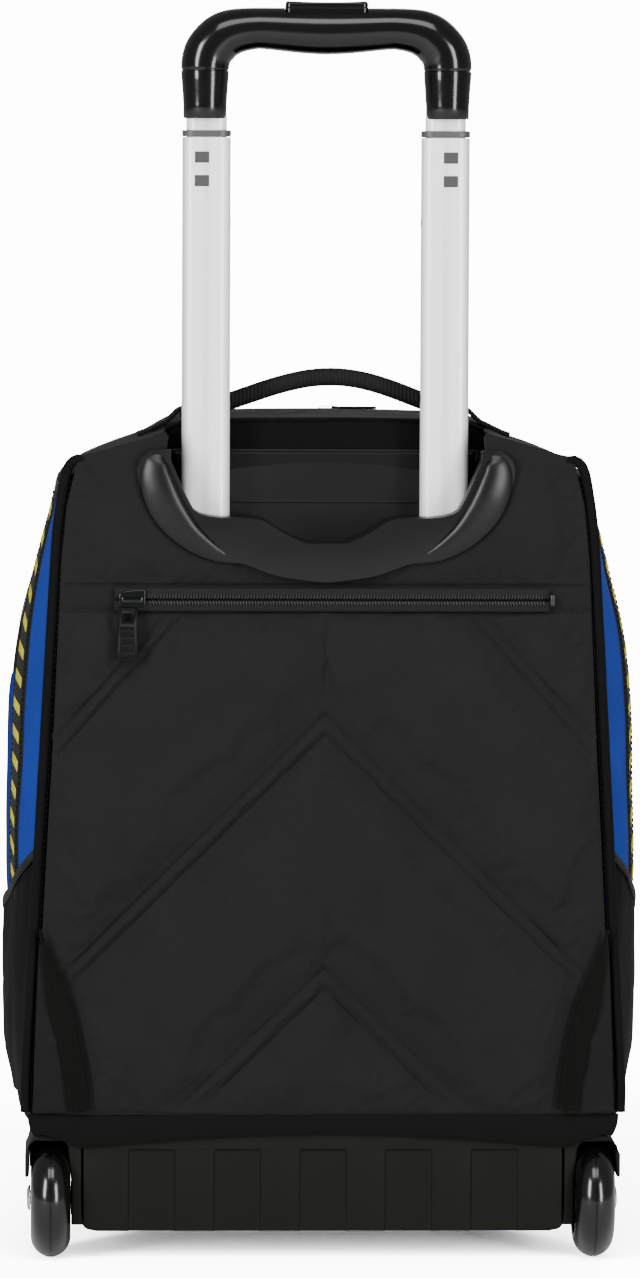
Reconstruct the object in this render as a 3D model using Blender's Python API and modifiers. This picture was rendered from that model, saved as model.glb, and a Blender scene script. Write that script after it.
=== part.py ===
"""A wheeled backpack with a two-stage trolley handle, modelled in metres with +Z up.

The back panel faces -Y and the front pockets face +Y. The origin is on the ground, below the middle of the bag.
The handle's outer stage is pulled out, its inner stage is pushed in, and every zip is closed.
"""

import math

import bmesh
import bpy
import numpy as np
from mathutils import Matrix, Vector

# Driving dimensions
GAP = 0.0003
REACH_Y = 0.1276

BAG_LOW = 0.076
BAG_BACK = -0.104
BAG_FRONT = 0.1113
BAG_WALL = 0.0025
FOLD_Z = 0.200
LID_SEAM_Y = 0.040

PANEL_OUTER_Y = -0.1130
PANEL_INNER_Y = -0.1048

TUBE_X = 0.0678
TUBE_Y = -0.086
OUTER_SIZE = (0.0274, 0.0170)
OUTER_WALL = 0.0012
OUTER_Z = (0.372, 0.638)
COLLAR_TOP = 0.6419
INNER_SIZE = (0.0230, 0.0126)
INNER_WALL = 0.0010
INNER_Z = (0.400, 0.6483)
SLEEVE_SIZE = (0.0320, 0.0216)
SLEEVE_WALL = 0.0018
SLEEVE_Z = (0.145, 0.3995)
PIN_Z = 0.390
LOCK_HOLES_Z = (PIN_Z, 0.490, 0.590)
LOCK_HOLE_R = 0.0029
WINDOWS_Z = (0.6260, 0.6126)
WINDOW_SHIFT = 0.0027

CUP_FACE_Y = -0.1172
CUP_FLANGE_Y = -0.1133
CUP_DEEP_Y = -0.0710
CUP_BODY_X = 0.0905
CUP_BODY_LOW = 0.4005
LEDGE_Z = 0.4235

GRIP_LEG_LOW = 0.6488
BUTTON_TOP = 0.715
BUTTON_PLATE = 0.0036
STEM_LOW = 0.7023
YOKE_Z = (0.6985, 0.7020)
YOKE_X = 0.060

WHEEL_X = 0.155
WHEEL_Y = -0.094
WHEEL_R = 0.0336
WHEEL_WIDTH = 0.0224
AXLE_R = 0.004
FENDER_X = 0.1675

BASE_X = 0.138
BASE_LOW = 0.0165
BASE_BACK = -0.108
BASE_FRONT = 0.100

HANDLE_Y = -0.058
HANDLE_PIVOT_Z = 0.4820
HANDLE_RISE = 0.0212
TAB_X = (0.0826, 0.0925)
TAB_Z = (0.4773, 0.4855)
BACK_ZIP_Z = 0.3771
BACK_ZIP_X = (-0.1195, 0.1265)
FRONT_ZIP_Z = 0.352
UPPER_POCKET_Y = 0.1206
PULL_TAIL = 0.0007
MAIN_SLIDER_Z = (0.4805, 0.4835)
MAIN_PIVOT = (0.0090, 0.040, 0.4847)
PULL_OUT = 0.0058
PULL_TOP = 0.0045

# Half width of the bag's back edge, and how far its sides bulge at each height and depth
SIDE_LOW = 0.1665
SIDE_SLOPE = 0.050
BULGE_Z = (0.076, 0.12, 0.18, 0.25, 0.32, 0.375, 0.42, 0.46)
BULGE_OUT = (0.008, 0.015, 0.020, 0.0225, 0.020, 0.016, 0.010, 0.006)
DEPTH_Y = (-0.104, -0.08, -0.04, 0.0, 0.04, 0.08, 0.1113)
DEPTH_SHARE = (0.0, 0.55, 0.92, 1.0, 1.0, 0.8, 0.45)
DEPTH_RAISE = (0.0, 0.0015, 0.003, 0.003, 0.002, -0.002, -0.010)


# Scene, materials and placing

def clear_scene():
    for obj in list(bpy.data.objects):
        bpy.data.objects.remove(obj, do_unlink=True)


def new_collection(name):
    made = bpy.data.collections.new(name)
    bpy.context.scene.collection.children.link(made)
    return made


clear_scene()
PARTS = new_collection("wheeled_backpack")
CUTTERS = new_collection("cutters")
CUTTERS.hide_render = True


def paint(obj, color, roughness, metallic=0.0):
    """Gives the object its own Principled material."""
    material = bpy.data.materials.new(obj.name)
    material.use_nodes = True
    shader = material.node_tree.nodes["Principled BSDF"]
    shader.inputs["Base Color"].default_value = (*color, 1.0)
    shader.inputs["Roughness"].default_value = roughness
    shader.inputs["Metallic"].default_value = metallic
    obj.data.materials.clear()
    obj.data.materials.append(material)


def fabric(obj):
    paint(obj, (0.020, 0.020, 0.021), 0.9)


def side_fabric(obj):
    paint(obj, (0.012, 0.075, 0.38), 0.85)


def webbing(obj):
    paint(obj, (0.010, 0.010, 0.009), 0.85)


def moulded(obj):
    paint(obj, (0.026, 0.026, 0.024), 0.5)


def glossy(obj):
    paint(obj, (0.008, 0.008, 0.008), 0.12)


def rubber(obj):
    paint(obj, (0.015, 0.015, 0.015), 0.7)


def aluminium(obj):
    paint(obj, (0.78, 0.78, 0.78), 0.32, 1.0)


def steel(obj):
    paint(obj, (0.55, 0.55, 0.56), 0.25, 1.0)


def gunmetal(obj):
    paint(obj, (0.10, 0.10, 0.11), 0.25, 1.0)


def placed(name, data, cutter=False):
    obj = bpy.data.objects.new(name, data)
    (CUTTERS if cutter else PARTS).objects.link(obj)
    if cutter:
        obj.hide_render = True
        obj.display_type = "WIRE"
    return obj


def from_bmesh(name, bm, cutter=False):
    bmesh.ops.recalc_face_normals(bm, faces=bm.faces)
    mesh = bpy.data.meshes.new(name)
    bm.to_mesh(mesh)
    bm.free()
    return placed(name, mesh, cutter)


def rounded(obj, width, segments=2):
    bevel = obj.modifiers.new("rounded edges", "BEVEL")
    bevel.width = width
    bevel.segments = segments
    bevel.limit_method = "ANGLE"
    bevel.angle_limit = math.radians(40)
    return obj


def joined_to(obj, other):
    """Adds the other object to this one, with a Boolean union."""
    union = obj.modifiers.new("with " + other.name, "BOOLEAN")
    union.operation = "UNION"
    union.object = other
    return obj


def cut(obj, cutter):
    boolean = obj.modifiers.new("less " + cutter.name, "BOOLEAN")
    boolean.operation = "DIFFERENCE"
    boolean.object = cutter
    return obj


def kept_inside(obj, cutter):
    boolean = obj.modifiers.new("within " + cutter.name, "BOOLEAN")
    boolean.operation = "INTERSECT"
    boolean.object = cutter
    return obj


def shade_smooth(obj, angle=40):
    """Shades the object's mesh smooth, with its sharp edges kept."""
    obj.data.shade_smooth()
    obj.data.set_sharp_from_angle(angle=math.radians(angle))
    return obj


# Shapes

def block(name, low, high, round_by=0.0, segments=2, cutter=False):
    """A box between two corners."""
    bm = bmesh.new()
    size = [b - a for a, b in zip(low, high)]
    middle = [(a + b) / 2 for a, b in zip(low, high)]
    bmesh.ops.create_cube(bm, size=1.0)
    bmesh.ops.scale(bm, vec=size, verts=bm.verts)
    bmesh.ops.translate(bm, vec=middle, verts=bm.verts)
    obj = from_bmesh(name, bm, cutter)
    return rounded(obj, round_by, segments) if round_by else obj


def rod(name, start, end, radius, sides=16, cutter=False):
    """A cylinder between two points."""
    start, end = Vector(start), Vector(end)
    bm = bmesh.new()
    length = (end - start).length
    bmesh.ops.create_cone(bm, cap_ends=True, segments=sides, radius1=radius, radius2=radius, depth=length)
    turn = (end - start).to_track_quat("Z", "Y").to_matrix().to_4x4()
    bmesh.ops.transform(bm, matrix=Matrix.Translation((start + end) / 2) @ turn, verts=bm.verts)
    return from_bmesh(name, bm, cutter)


def as_mesh(curve_object, cutter=False):
    """Replaces a curve object by a closed mesh of the same name and place."""
    bpy.context.view_layer.update()
    name = curve_object.name
    graph = bpy.context.evaluated_depsgraph_get()
    mesh = bpy.data.meshes.new_from_object(curve_object.evaluated_get(graph))
    matrix = curve_object.matrix_world.copy()
    bpy.data.objects.remove(curve_object, do_unlink=True)
    bm = bmesh.new()
    bm.from_mesh(mesh)
    bmesh.ops.remove_doubles(bm, verts=bm.verts, dist=1e-6)
    bmesh.ops.recalc_face_normals(bm, faces=bm.faces)
    bm.to_mesh(mesh)
    bm.free()
    obj = placed(name, mesh, cutter)
    obj.matrix_world = matrix
    return obj


def flat_curve(name, loops, depth):
    """A flat outline with any holes, as a 2D curve extruded to the depth."""
    curve = bpy.data.curves.new(name, "CURVE")
    curve.dimensions = "2D"
    curve.fill_mode = "BOTH"
    curve.extrude = depth / 2
    for loop in loops:
        spline = curve.splines.new("POLY")
        spline.points.add(len(loop) - 1)
        for point, (x, y) in zip(spline.points, loop):
            point.co = (x, y, 0.0, 1.0)
        spline.use_cyclic_u = True
    return placed(name, curve)


def back_plate(name, loops, y_range, cutter=False):
    """A plate whose outline is given in X and Z, between two depths in Y."""
    obj = flat_curve(name, loops, y_range[1] - y_range[0])
    obj.rotation_euler = (math.pi / 2, 0, 0)
    obj.location = (0, sum(y_range) / 2, 0)
    return as_mesh(obj, cutter)


def upright(name, loops, x, y, z_range, cutter=False):
    """A bar or tube along Z whose section is given about its own middle."""
    obj = flat_curve(name, loops, z_range[1] - z_range[0])
    obj.location = (x, y, sum(z_range) / 2)
    return as_mesh(obj, cutter)


def rounded_rectangle(width, height, radius, steps=4):
    points = []
    for corner in range(4):
        sx = 1 if corner in (0, 3) else -1
        sy = 1 if corner in (0, 1) else -1
        for step in range(steps + 1):
            angle = math.pi / 2 * (corner + step / steps)
            points.append((
                sx * (width / 2 - radius) + radius * math.cos(angle),
                sy * (height / 2 - radius) + radius * math.sin(angle),
            ))
    return points


def mirrored(right_half):
    """A full outline from its right half, listed from the bottom up."""
    left = [(-x, z) for x, z in reversed(right_half) if x > 1e-6]
    return list(right_half) + left


def offset_path(points, distance):
    """The open path moved sideways, to its right as it runs."""
    path = np.array(points)
    along = np.gradient(path, axis=0)
    along /= np.linalg.norm(along, axis=1)[:, None]
    return path + distance * np.column_stack([along[:, 1], -along[:, 0]])


def ribbon(points, width):
    """The outline of a strap of this width along a path."""
    right = offset_path(points, width / 2)
    left = offset_path(points, -width / 2)
    return [tuple(p) for p in right] + [tuple(p) for p in left[::-1]]


def turned(name, profile, place, steps=32, cutter=False):
    """A closed profile of (radius, height) turned about an axis along X, outer side running down."""
    mesh = bpy.data.meshes.new(name)
    bm = bmesh.new()
    verts = [bm.verts.new((radius, 0, height)) for radius, height in profile]
    for a, b in zip(verts, verts[1:] + verts[:1]):
        bm.edges.new((a, b))
    bm.to_mesh(mesh)
    bm.free()
    obj = placed(name, mesh, cutter)
    screw = obj.modifiers.new("turn", "SCREW")
    screw.axis = "Z"
    screw.steps = steps
    screw.render_steps = steps
    screw.use_merge_vertices = True
    screw.merge_threshold = 0.00005
    obj.rotation_euler = (0, math.pi / 2, 0)
    obj.location = place
    return obj


def loft(name, rings, closed=True, caps=(True, True)):
    """A skin over rings of points, with the ends filled where asked."""
    bm = bmesh.new()
    rows = [[bm.verts.new(point) for point in ring] for ring in rings]
    count = len(rows[0])
    for row, after in zip(rows, rows[1:]):
        for i in range(count if closed else count - 1):
            j = (i + 1) % count
            bm.faces.new((row[i], after[i], after[j], row[j]))
    for row, wanted in ((rows[0], caps[0]), (rows[-1], caps[1])):
        if wanted:
            bm.faces.new(row)
    return from_bmesh(name, bm)


def thickened(obj, thickness, side=-1.0):
    solidify = obj.modifiers.new("thickness", "SOLIDIFY")
    solidify.thickness = thickness
    solidify.offset = side
    solidify.use_even_offset = True
    return obj


def bent_rod(name, points, radius, resolution=2, sizes=None):
    """A round bar along a path, with filled caps."""
    curve = bpy.data.curves.new(name, "CURVE")
    curve.dimensions = "3D"
    curve.bevel_depth = radius
    curve.bevel_resolution = resolution
    curve.use_fill_caps = True
    spline = curve.splines.new("POLY")
    spline.points.add(len(points) - 1)
    for i, place in enumerate(points):
        spline.points[i].co = (*place, 1.0)
        spline.points[i].radius = sizes[i] if sizes else 1.0
    return placed(name, curve)


def sides():
    return (("left", -1), ("right", 1))


# The bag's own form

def half_width(z, y):
    bulge = np.interp(z, BULGE_Z, BULGE_OUT) * np.interp(y, DEPTH_Y, DEPTH_SHARE)
    return float(SIDE_LOW - SIDE_SLOPE * (z - 0.09) + bulge)


def bag_half_outline(y):
    """Right half of the bag's section at this depth, from the bottom up."""
    raised = float(np.interp(y, DEPTH_Y, DEPTH_RAISE))
    top_half = half_width(0.43, y)
    low = [(0.0, BAG_LOW), (half_width(BAG_LOW, y) - 0.014, BAG_LOW)]
    low.append((half_width(0.08, y) - 0.0035, 0.0795))
    side = [(half_width(z, y), z) for z in (0.088, 0.12, 0.18, 0.25, 0.32, 0.375, 0.42, 0.43)]
    top_shape = ((0.955, 0.4490), (0.885, 0.4575), (0.755, 0.4665))
    top_shape += ((0.600, 0.4735), (0.300, 0.4755), (0.0, 0.4760))
    top = [(share * top_half, z + raised) for share, z in top_shape]
    return low + side + top


def bag_ring(y, inset=0.0):
    """The bag's full section, drawn in by the inset where its front edge is rounded."""
    middle = Vector((0.0, 0.27))
    ring = []
    for x, z in mirrored(bag_half_outline(y)):
        reach = Vector((x, z)) - middle
        flat = middle + reach * (1 - inset / max(reach.length, inset))
        ring.append((flat.x, y, flat.y))
    return ring


def bag_shell(name):
    """The whole fabric shell, open at the back."""
    rings = [bag_ring(y) for y in DEPTH_Y[:-1] + (0.098,)]
    rings += [bag_ring(BAG_FRONT - 0.004, 0.004), bag_ring(BAG_FRONT, 0.014)]
    return thickened(loft(name, rings, caps=(False, True)), BAG_WALL)


def make_shell():
    body = bag_shell("main_body")
    lid = bag_shell("front_lid")
    wide = 0.3
    cut(body, block("lid_space", (-wide, LID_SEAM_Y, FOLD_Z), (wide, wide, 0.6), cutter=True))
    notch = (CUP_BODY_X + 0.0007, CUP_DEEP_Y + 0.0005)
    cut(body, block("cup_notch", (-notch[0], -0.2, 0.3995), (notch[0], notch[1], 0.6), cutter=True))
    room = block("lid_room", (-wide, LID_SEAM_Y + GAP, FOLD_Z + GAP), (wide, wide, 0.6), cutter=True)
    kept_inside(lid, room)
    for obj in (body, lid):
        side_fabric(obj)


def neck_edge(extra):
    """Right edge of the cup's neck where it passes through the back panel, let out by the extra."""
    edge = [(0.0600, 0.4045), (0.0800, 0.4120), (0.0880, 0.4250), (0.0901, 0.4400), (0.0901, 0.4612)]
    return [(x + extra, z - extra) for x, z in edge]


def make_back():
    board = [(0.150, 0.0815), (0.158, 0.100), (0.146, 0.396)]
    plate = back_plate("back_board", [mirrored(board)], (-0.0995, -0.0975))
    moulded(plate)
    lining = [(0.150, 0.0815), (0.160, 0.100), (0.1475, 0.396)]
    lining += [(0.1445, 0.440), (0.124, 0.457), (0.084, 0.4685)]
    sheet = back_plate("trolley_lining", [mirrored(lining + [(0.0, 0.4705)])], (-0.0700, -0.0684))
    fabric(sheet)
    edge = [(0.1640, 0.0835), (0.1605, 0.180), (0.1540, 0.300), (0.1500, 0.400), (0.1470, 0.430)]
    top = [(0.1405, 0.452), (0.130, 0.4545), (0.112, 0.4635), (0.090, 0.4705)]
    panel = back_plate("back_panel", [mirrored(edge + top + [(0.0, 0.473)])],
                       (PANEL_OUTER_Y, PANEL_INNER_Y))
    notch = neck_edge(0.0005) + [(0.0906, 0.6)]
    cut(panel, back_plate("panel_notch", [mirrored(notch)], (-0.2, 0.0), True))
    fabric(panel)
    band = block("lower_band", (-0.164, -0.1110, 0.0735), (0.164, PANEL_INNER_Y, 0.0831), 0.001, 1)
    fabric(band)


def make_trim():
    edge = [(0.1692, 0.0865), (0.1690, 0.110), (0.1652, 0.180), (0.1587, 0.300), (0.1547, 0.400)]
    top = [(0.1520, 0.432), (0.1478, 0.4505), (0.1420, 0.4580), (0.1350, 0.4590)]
    strap = [(0.1575, 0.188), (0.1490, 0.163), (0.1395, 0.133), (0.1348, 0.106), (0.1340, 0.0868)]
    for side, s in sides():
        route = [(s * x, -0.1088, z) for x, z in edge + top]
        piping = bent_rod("piping_" + side, route, 0.0023, 2)
        fabric(piping)
        outline = ribbon([(s * x, z) for x, z in strap], 0.0115)
        depths = (PANEL_OUTER_Y - 0.0019, PANEL_OUTER_Y - GAP)
        strip = back_plate("corner_webbing_" + side, [outline], depths)
        webbing(strip)


def make_side_pockets():
    """A flat bellows pocket on each side, fuller in its middle."""
    depths = np.linspace(-0.092, 0.030, 7)
    heights = np.linspace(0.090, 0.224, 7)
    for side, s in sides():
        rings = []
        for z in heights:
            full = math.sin(math.pi * (z - 0.080) / 0.175) ** 0.6
            inner = [(s * (half_width(z, y) + 0.0016), y, z) for y in depths]
            swell = [math.sin(math.pi * (y + 0.104) / 0.150) ** 0.5 for y in depths]
            outs = [0.0028 + 0.0042 * full * swell[i] for i in range(len(depths))]
            outer = [(s * (half_width(z, y) + out), y, z) for y, out in zip(depths, outs)]
            rings.append(inner + outer[::-1])
        pocket = loft("side_pocket_" + side, rings)
        fabric(pocket)


def make_straps():
    """Shoulder straps folded flat in the pocket behind the back panel."""
    for side, s in sides():
        low, high = sorted((s * 0.042, s * 0.102))
        strap = block("shoulder_strap_" + side, (low, -0.1043, 0.110), (high, -0.0999, 0.366), 0.0015, 1)
        fabric(strap)


def make_carry_handle():
    span = 0.0815
    points = []
    sizes = []
    for i in range(15):
        share = -1 + 2 * i / 14
        lift = HANDLE_RISE * math.cos(share * math.pi / 2) ** 1.6
        points.append((span * share, HANDLE_Y, HANDLE_PIVOT_Z + 0.0004 + lift))
        sizes.append(0.55 + 0.45 * math.cos(share * math.pi / 2) ** 0.5 if abs(share) < 1 else 0.55)
    handle = bent_rod("carry_handle", points, 0.0048, 2, sizes)
    webbing(handle)
    for side, s in sides():
        low, high = sorted((s * TAB_X[0], s * TAB_X[1]))
        start = (low, HANDLE_Y - 0.006, TAB_Z[0])
        end = (high, HANDLE_Y + 0.006, TAB_Z[1])
        tab = block("handle_tab_" + side, start, end, 0.0012, 1)
        webbing(tab)
    return handle


def make_front_pockets():
    shapes = (
        ("front_pocket_lower", 0.124, 0.090, 0.176, REACH_Y),
        ("front_pocket_upper", 0.118, 0.214, 0.372, UPPER_POCKET_Y),
    )
    for name, half, low, high, front in shapes:
        pocket = block(name, (-half, BAG_FRONT + 0.0004, low), (half, front, high), 0.0055, 3)
        fabric(pocket)


# Zips

def zip_strip(name, depths, out, thick):
    """Half of the main zip: a tape that runs up one side, over the top and down the other side."""
    rings = []
    for y in depths:
        half = [(x, z) for x, z in bag_half_outline(y) if z > 0.205]
        path = half + [(-x, z) for x, z in reversed(half) if x > 1e-6]
        moved = offset_path(path, out)
        rings.append([(float(x), y, float(z)) for x, z in moved])
    strip = thickened(loft(name, rings, closed=False, caps=(False, False)), thick, 1.0)
    webbing(strip)


def make_main_zip():
    zip_strip("main_zip_body_side", (0.0335, 0.0365, LID_SEAM_Y - GAP), 0.0006, 0.0012)
    zip_strip("main_zip_lid_side", (LID_SEAM_Y + GAP, 0.0435, 0.0465), 0.0006, 0.0012)
    low, high = MAIN_SLIDER_Z
    slider = block("main_zip_slider", (0.0, 0.0355, low), (0.013, 0.0445, high), 0.0010, 1)
    gunmetal(slider)
    start = (MAIN_PIVOT[0] - PULL_TAIL, 0.0365, MAIN_PIVOT[2] - 0.0008)
    end = (0.0345, 0.0435, MAIN_PIVOT[2] + 0.0008)
    pull = block("main_zip_pull", start, end, 0.0005, 1)
    gunmetal(pull)
    return slider, pull


def flat_zip(prefix, x_range, z, face_y, out, slider_x):
    """A straight zip, its slider and its hanging pull, on a face that looks along Y: out is -1 or 1."""

    def depth(near, far):
        return sorted((face_y + out * near, face_y + out * far))

    low, high = depth(GAP, 0.0016)
    chain = block(prefix + "_chain", (x_range[0], low, z - 0.0042), (x_range[1], high, z + 0.0042))
    webbing(chain)
    low, high = depth(0.0019, 0.0046)
    start = (slider_x, low, z - 0.0055)
    end = (slider_x + 0.0150, high, z + 0.0055)
    slider = block(prefix + "_slider", start, end, 0.0009, 1)
    gunmetal(slider)
    low, high = depth(PULL_OUT - 0.0008, PULL_OUT + 0.0008)
    pull_x = slider_x - 0.0010
    start = (pull_x, low, z - 0.0340)
    end = (pull_x + 0.0114, high, z - PULL_TOP)
    pull = block(prefix + "_pull", start, end, 0.0005, 1)
    gunmetal(pull)
    return slider, pull


# Trolley handle

def make_cup():
    """The moulded cup that the handle stows in: a rim, a recess open at the top and a scooped ledge."""
    side_edge = [(0.0985, 0.4620), (0.1060, 0.4560), (0.1070, 0.4460), (0.0990, 0.4250), (0.0840, 0.4090)]
    low_edge = [(0.0680, 0.4005), (0.0480, 0.3980), (0.0420, 0.3960), (0.0270, 0.3900), (0.0, 0.3870)]
    outline = mirrored(list(reversed(side_edge + low_edge)))
    cup = back_plate("handle_cup", [outline], (CUP_FACE_Y, CUP_FLANGE_Y + 0.0001))
    neck_y = (CUP_FLANGE_Y - 0.0015, PANEL_INNER_Y + 0.0022)
    joined_to(cup, back_plate("cup_neck", [mirrored(neck_edge(0.0))], neck_y, True))
    box_edge = [(0.0840, CUP_BODY_LOW), (CUP_BODY_X, 0.4070), (CUP_BODY_X, 0.4608)]
    joined_to(cup, back_plate("cup_box", [mirrored(box_edge)], (PANEL_INNER_Y + 0.0008, CUP_DEEP_Y), True))
    inner = [(0.0, LEDGE_Z - 0.0160), (0.0110, LEDGE_Z - 0.0145), (0.0210, LEDGE_Z - 0.0105)]
    inner += [(0.0300, LEDGE_Z - 0.0050), (0.0380, LEDGE_Z), (0.0725, LEDGE_Z + 0.0003)]
    inner += [(0.0790, 0.4350), (0.0845, 0.4480), (0.0880, 0.4560)]
    pocket = mirrored(inner + [(0.0880, 0.5000)])
    cut(cup, back_plate("cup_pocket", [pocket], (-0.2, CUP_DEEP_Y - 0.0022), True))
    for side, s in sides():
        bore = [rounded_rectangle(OUTER_SIZE[0] + 0.0012, OUTER_SIZE[1] + 0.0012, 0.0068)]
        cut(cup, upright("cup_bore_" + side, bore, s * TUBE_X, TUBE_Y, (0.350, 0.600), True))
    moulded(cup)


def make_sleeves():
    for side, s in sides():
        inner = (SLEEVE_SIZE[0] - 2 * SLEEVE_WALL, SLEEVE_SIZE[1] - 2 * SLEEVE_WALL)
        loops = [rounded_rectangle(*SLEEVE_SIZE, 0.0080), rounded_rectangle(*inner, 0.0064)]
        sleeve = upright("guide_sleeve_" + side, loops, s * TUBE_X, TUBE_Y, SLEEVE_Z)
        moulded(sleeve)
    half_y = SLEEVE_SIZE[1] / 2
    start = (-0.088, TUBE_Y - half_y, 0.124)
    end = (0.088, TUBE_Y + half_y, SLEEVE_Z[0] - GAP)
    foot = block("trolley_foot_bar", start, end, 0.003, 2)
    moulded(foot)


def tube(name, size, wall, x, z_range, radius):
    hollow = (size[0] - 2 * wall, size[1] - 2 * wall)
    loops = [rounded_rectangle(*size, radius), rounded_rectangle(*hollow, radius - wall)]
    return upright(name, loops, x, TUBE_Y, z_range)


def lock_holes(outer, side, s):
    for i, z in enumerate(LOCK_HOLES_Z):
        start = (s * 0.050, TUBE_Y, z)
        end = (s * 0.058, TUBE_Y, z)
        hole = rod(f"lock_hole_{side}_{i}", start, end, LOCK_HOLE_R, 12, True)
        cut(outer, hole)


def windows(outer, side, s):
    """Two square windows through the face of each tube, near its top."""
    middle = s * (TUBE_X + WINDOW_SHIFT)
    for i, z in enumerate(WINDOWS_Z):
        low = (middle - 0.0041, TUBE_Y - 0.012, z - 0.0032)
        high = (middle + 0.0041, TUBE_Y - 0.0068, z + 0.0032)
        cut(outer, block(f"window_{side}_{i}", low, high, cutter=True))


def make_outer_stage():
    made = []
    for side, s in sides():
        outer = tube("outer_tube_" + side, OUTER_SIZE, OUTER_WALL, s * TUBE_X, OUTER_Z, 0.0068)
        lock_holes(outer, side, s)
        windows(outer, side, s)
        aluminium(outer)
        loops = [rounded_rectangle(0.0278, 0.0174, 0.0070), rounded_rectangle(0.0238, 0.0134, 0.0050)]
        collar = upright("tube_collar_" + side, loops, s * TUBE_X, TUBE_Y, (OUTER_Z[1] + GAP, COLLAR_TOP))
        moulded(collar)
        made += [outer, collar]
    return made


def make_inner_stage():
    made = []
    for side, s in sides():
        inner = tube("inner_tube_" + side, INNER_SIZE, INNER_WALL, s * TUBE_X, INNER_Z, 0.0056)
        aluminium(inner)
        section = [rounded_rectangle(0.0240, 0.0136, 0.0050)]
        housing = upright("lock_housing_" + side, section, s * TUBE_X, TUBE_Y, (0.380, INNER_Z[0] - GAP))
        bore_from, bore_to = s * 0.050, s * 0.0770
        start = (bore_from, TUBE_Y, PIN_Z)
        end = (bore_to, TUBE_Y, PIN_Z)
        cut(housing, rod("pin_bore_" + side, start, end, LOCK_HOLE_R, 12, True))
        start = (s * YOKE_X, TUBE_Y, PIN_Z)
        end = (s * YOKE_X, TUBE_Y, PIN_Z + 0.020)
        shaft = rod("rod_bore_" + side, start, end, 0.0019, 10, True)
        cut(housing, shaft)
        moulded(housing)
        made += [inner, housing]
    return made


def make_locks():
    pins = []
    springs = []
    for side, s in sides():
        pin = rod("lock_pin_" + side, (s * 0.0556, TUBE_Y, PIN_Z), (s * 0.0655, TUBE_Y, PIN_Z), 0.0025, 12)
        steel(pin)
        turns, per_turn = 4, 10
        coil = []
        for i in range(turns * per_turn + 1):
            angle = 2 * math.pi * i / per_turn
            x = s * (0.0663 + 0.0102 * i / (turns * per_turn))
            coil.append((x, TUBE_Y + 0.0019 * math.cos(angle), PIN_Z + 0.0019 * math.sin(angle)))
        spring = bent_rod("lock_spring_" + side, coil, 0.0003, 0)
        steel(spring)
        pins.append(pin)
        springs.append(spring)
    return pins, springs


def grip_route():
    """Centre line of the grip from its left leg over to its right one, and the bar's radius along it."""
    points = []
    sizes = []
    bend = 0.0270
    corner_z = 0.7002 - bend
    corner_x = TUBE_X - bend
    for z, size in ((GRIP_LEG_LOW, 0.0118), (0.6560, 0.0119), (0.6640, 0.0126), (0.6720, 0.0134)):
        points.append((TUBE_X, TUBE_Y, z))
        sizes.append(size)
    for i in range(1, 9):
        angle = math.pi / 2 * i / 8
        points.append((corner_x + bend * math.cos(angle), TUBE_Y, corner_z + bend * math.sin(angle)))
        sizes.append(0.0134 - 0.0027 * i / 8)
    points.append((0.020, TUBE_Y, 0.6995))
    sizes.append(0.0114)
    points.append((0.0, TUBE_Y, 0.6991))
    sizes.append(0.0119)
    left = [(-x, y, z) for x, y, z in reversed(points[:-1])]
    return points + left, sizes + sizes[-2::-1]


def make_grip():
    points, sizes = grip_route()
    grip = as_mesh(bent_rod("grip", points, 1.0, 3, sizes))
    for side, s in sides():
        tang = [rounded_rectangle(0.0200, 0.0096, 0.0040)]
        joined_to(grip, upright("grip_tang_" + side, tang, s * TUBE_X, TUBE_Y, (0.632, 0.656), True))
        start = (s * YOKE_X, TUBE_Y, 0.600)
        end = (s * YOKE_X, TUBE_Y, YOKE_Z[0] - 0.001)
        cut(grip, rod("grip_bore_" + side, start, end, 0.0021, 10, True))
    channel = (0.0632, 0.0046, YOKE_Z[0] - 0.0047, YOKE_Z[1] + 0.0010)
    slot = (0.0213, 0.0057, STEM_LOW - 0.0048, 0.7300)
    seat = (0.0240, 0.0080, BUTTON_TOP - BUTTON_PLATE - 0.0046, 0.7300)
    for name, (half_x, half_y, low, high) in (("channel", channel), ("slot", slot), ("seat", seat)):
        start = (-half_x, TUBE_Y - half_y, low)
        end = (half_x, TUBE_Y + half_y, high)
        cut(grip, block("grip_" + name, start, end, cutter=True))
    glossy(grip)
    return grip


def make_button():
    plate_low = BUTTON_TOP - BUTTON_PLATE
    start = (-0.0235, TUBE_Y - 0.0075, plate_low)
    end = (0.0235, TUBE_Y + 0.0075, BUTTON_TOP)
    button = block("release_button", start, end, 0.0014, 2)
    start = (-0.0205, TUBE_Y - 0.0050, STEM_LOW)
    end = (0.0205, TUBE_Y + 0.0050, plate_low + 0.001)
    joined_to(button, block("button_stem", start, end, cutter=True))
    glossy(button)
    start = (-0.0620, TUBE_Y - 0.0036, YOKE_Z[0])
    end = (0.0620, TUBE_Y + 0.0036, YOKE_Z[1])
    yoke = block("release_yoke", start, end)
    for side, s in sides():
        foot = (s * YOKE_X, TUBE_Y, PIN_Z + 0.0075)
        head = (s * YOKE_X, TUBE_Y, YOKE_Z[0] + 0.0015)
        joined_to(yoke, rod("yoke_leg_" + side, foot, head, 0.0013, 8, True))
    moulded(yoke)
    return button, yoke


# Base and wheels

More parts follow.
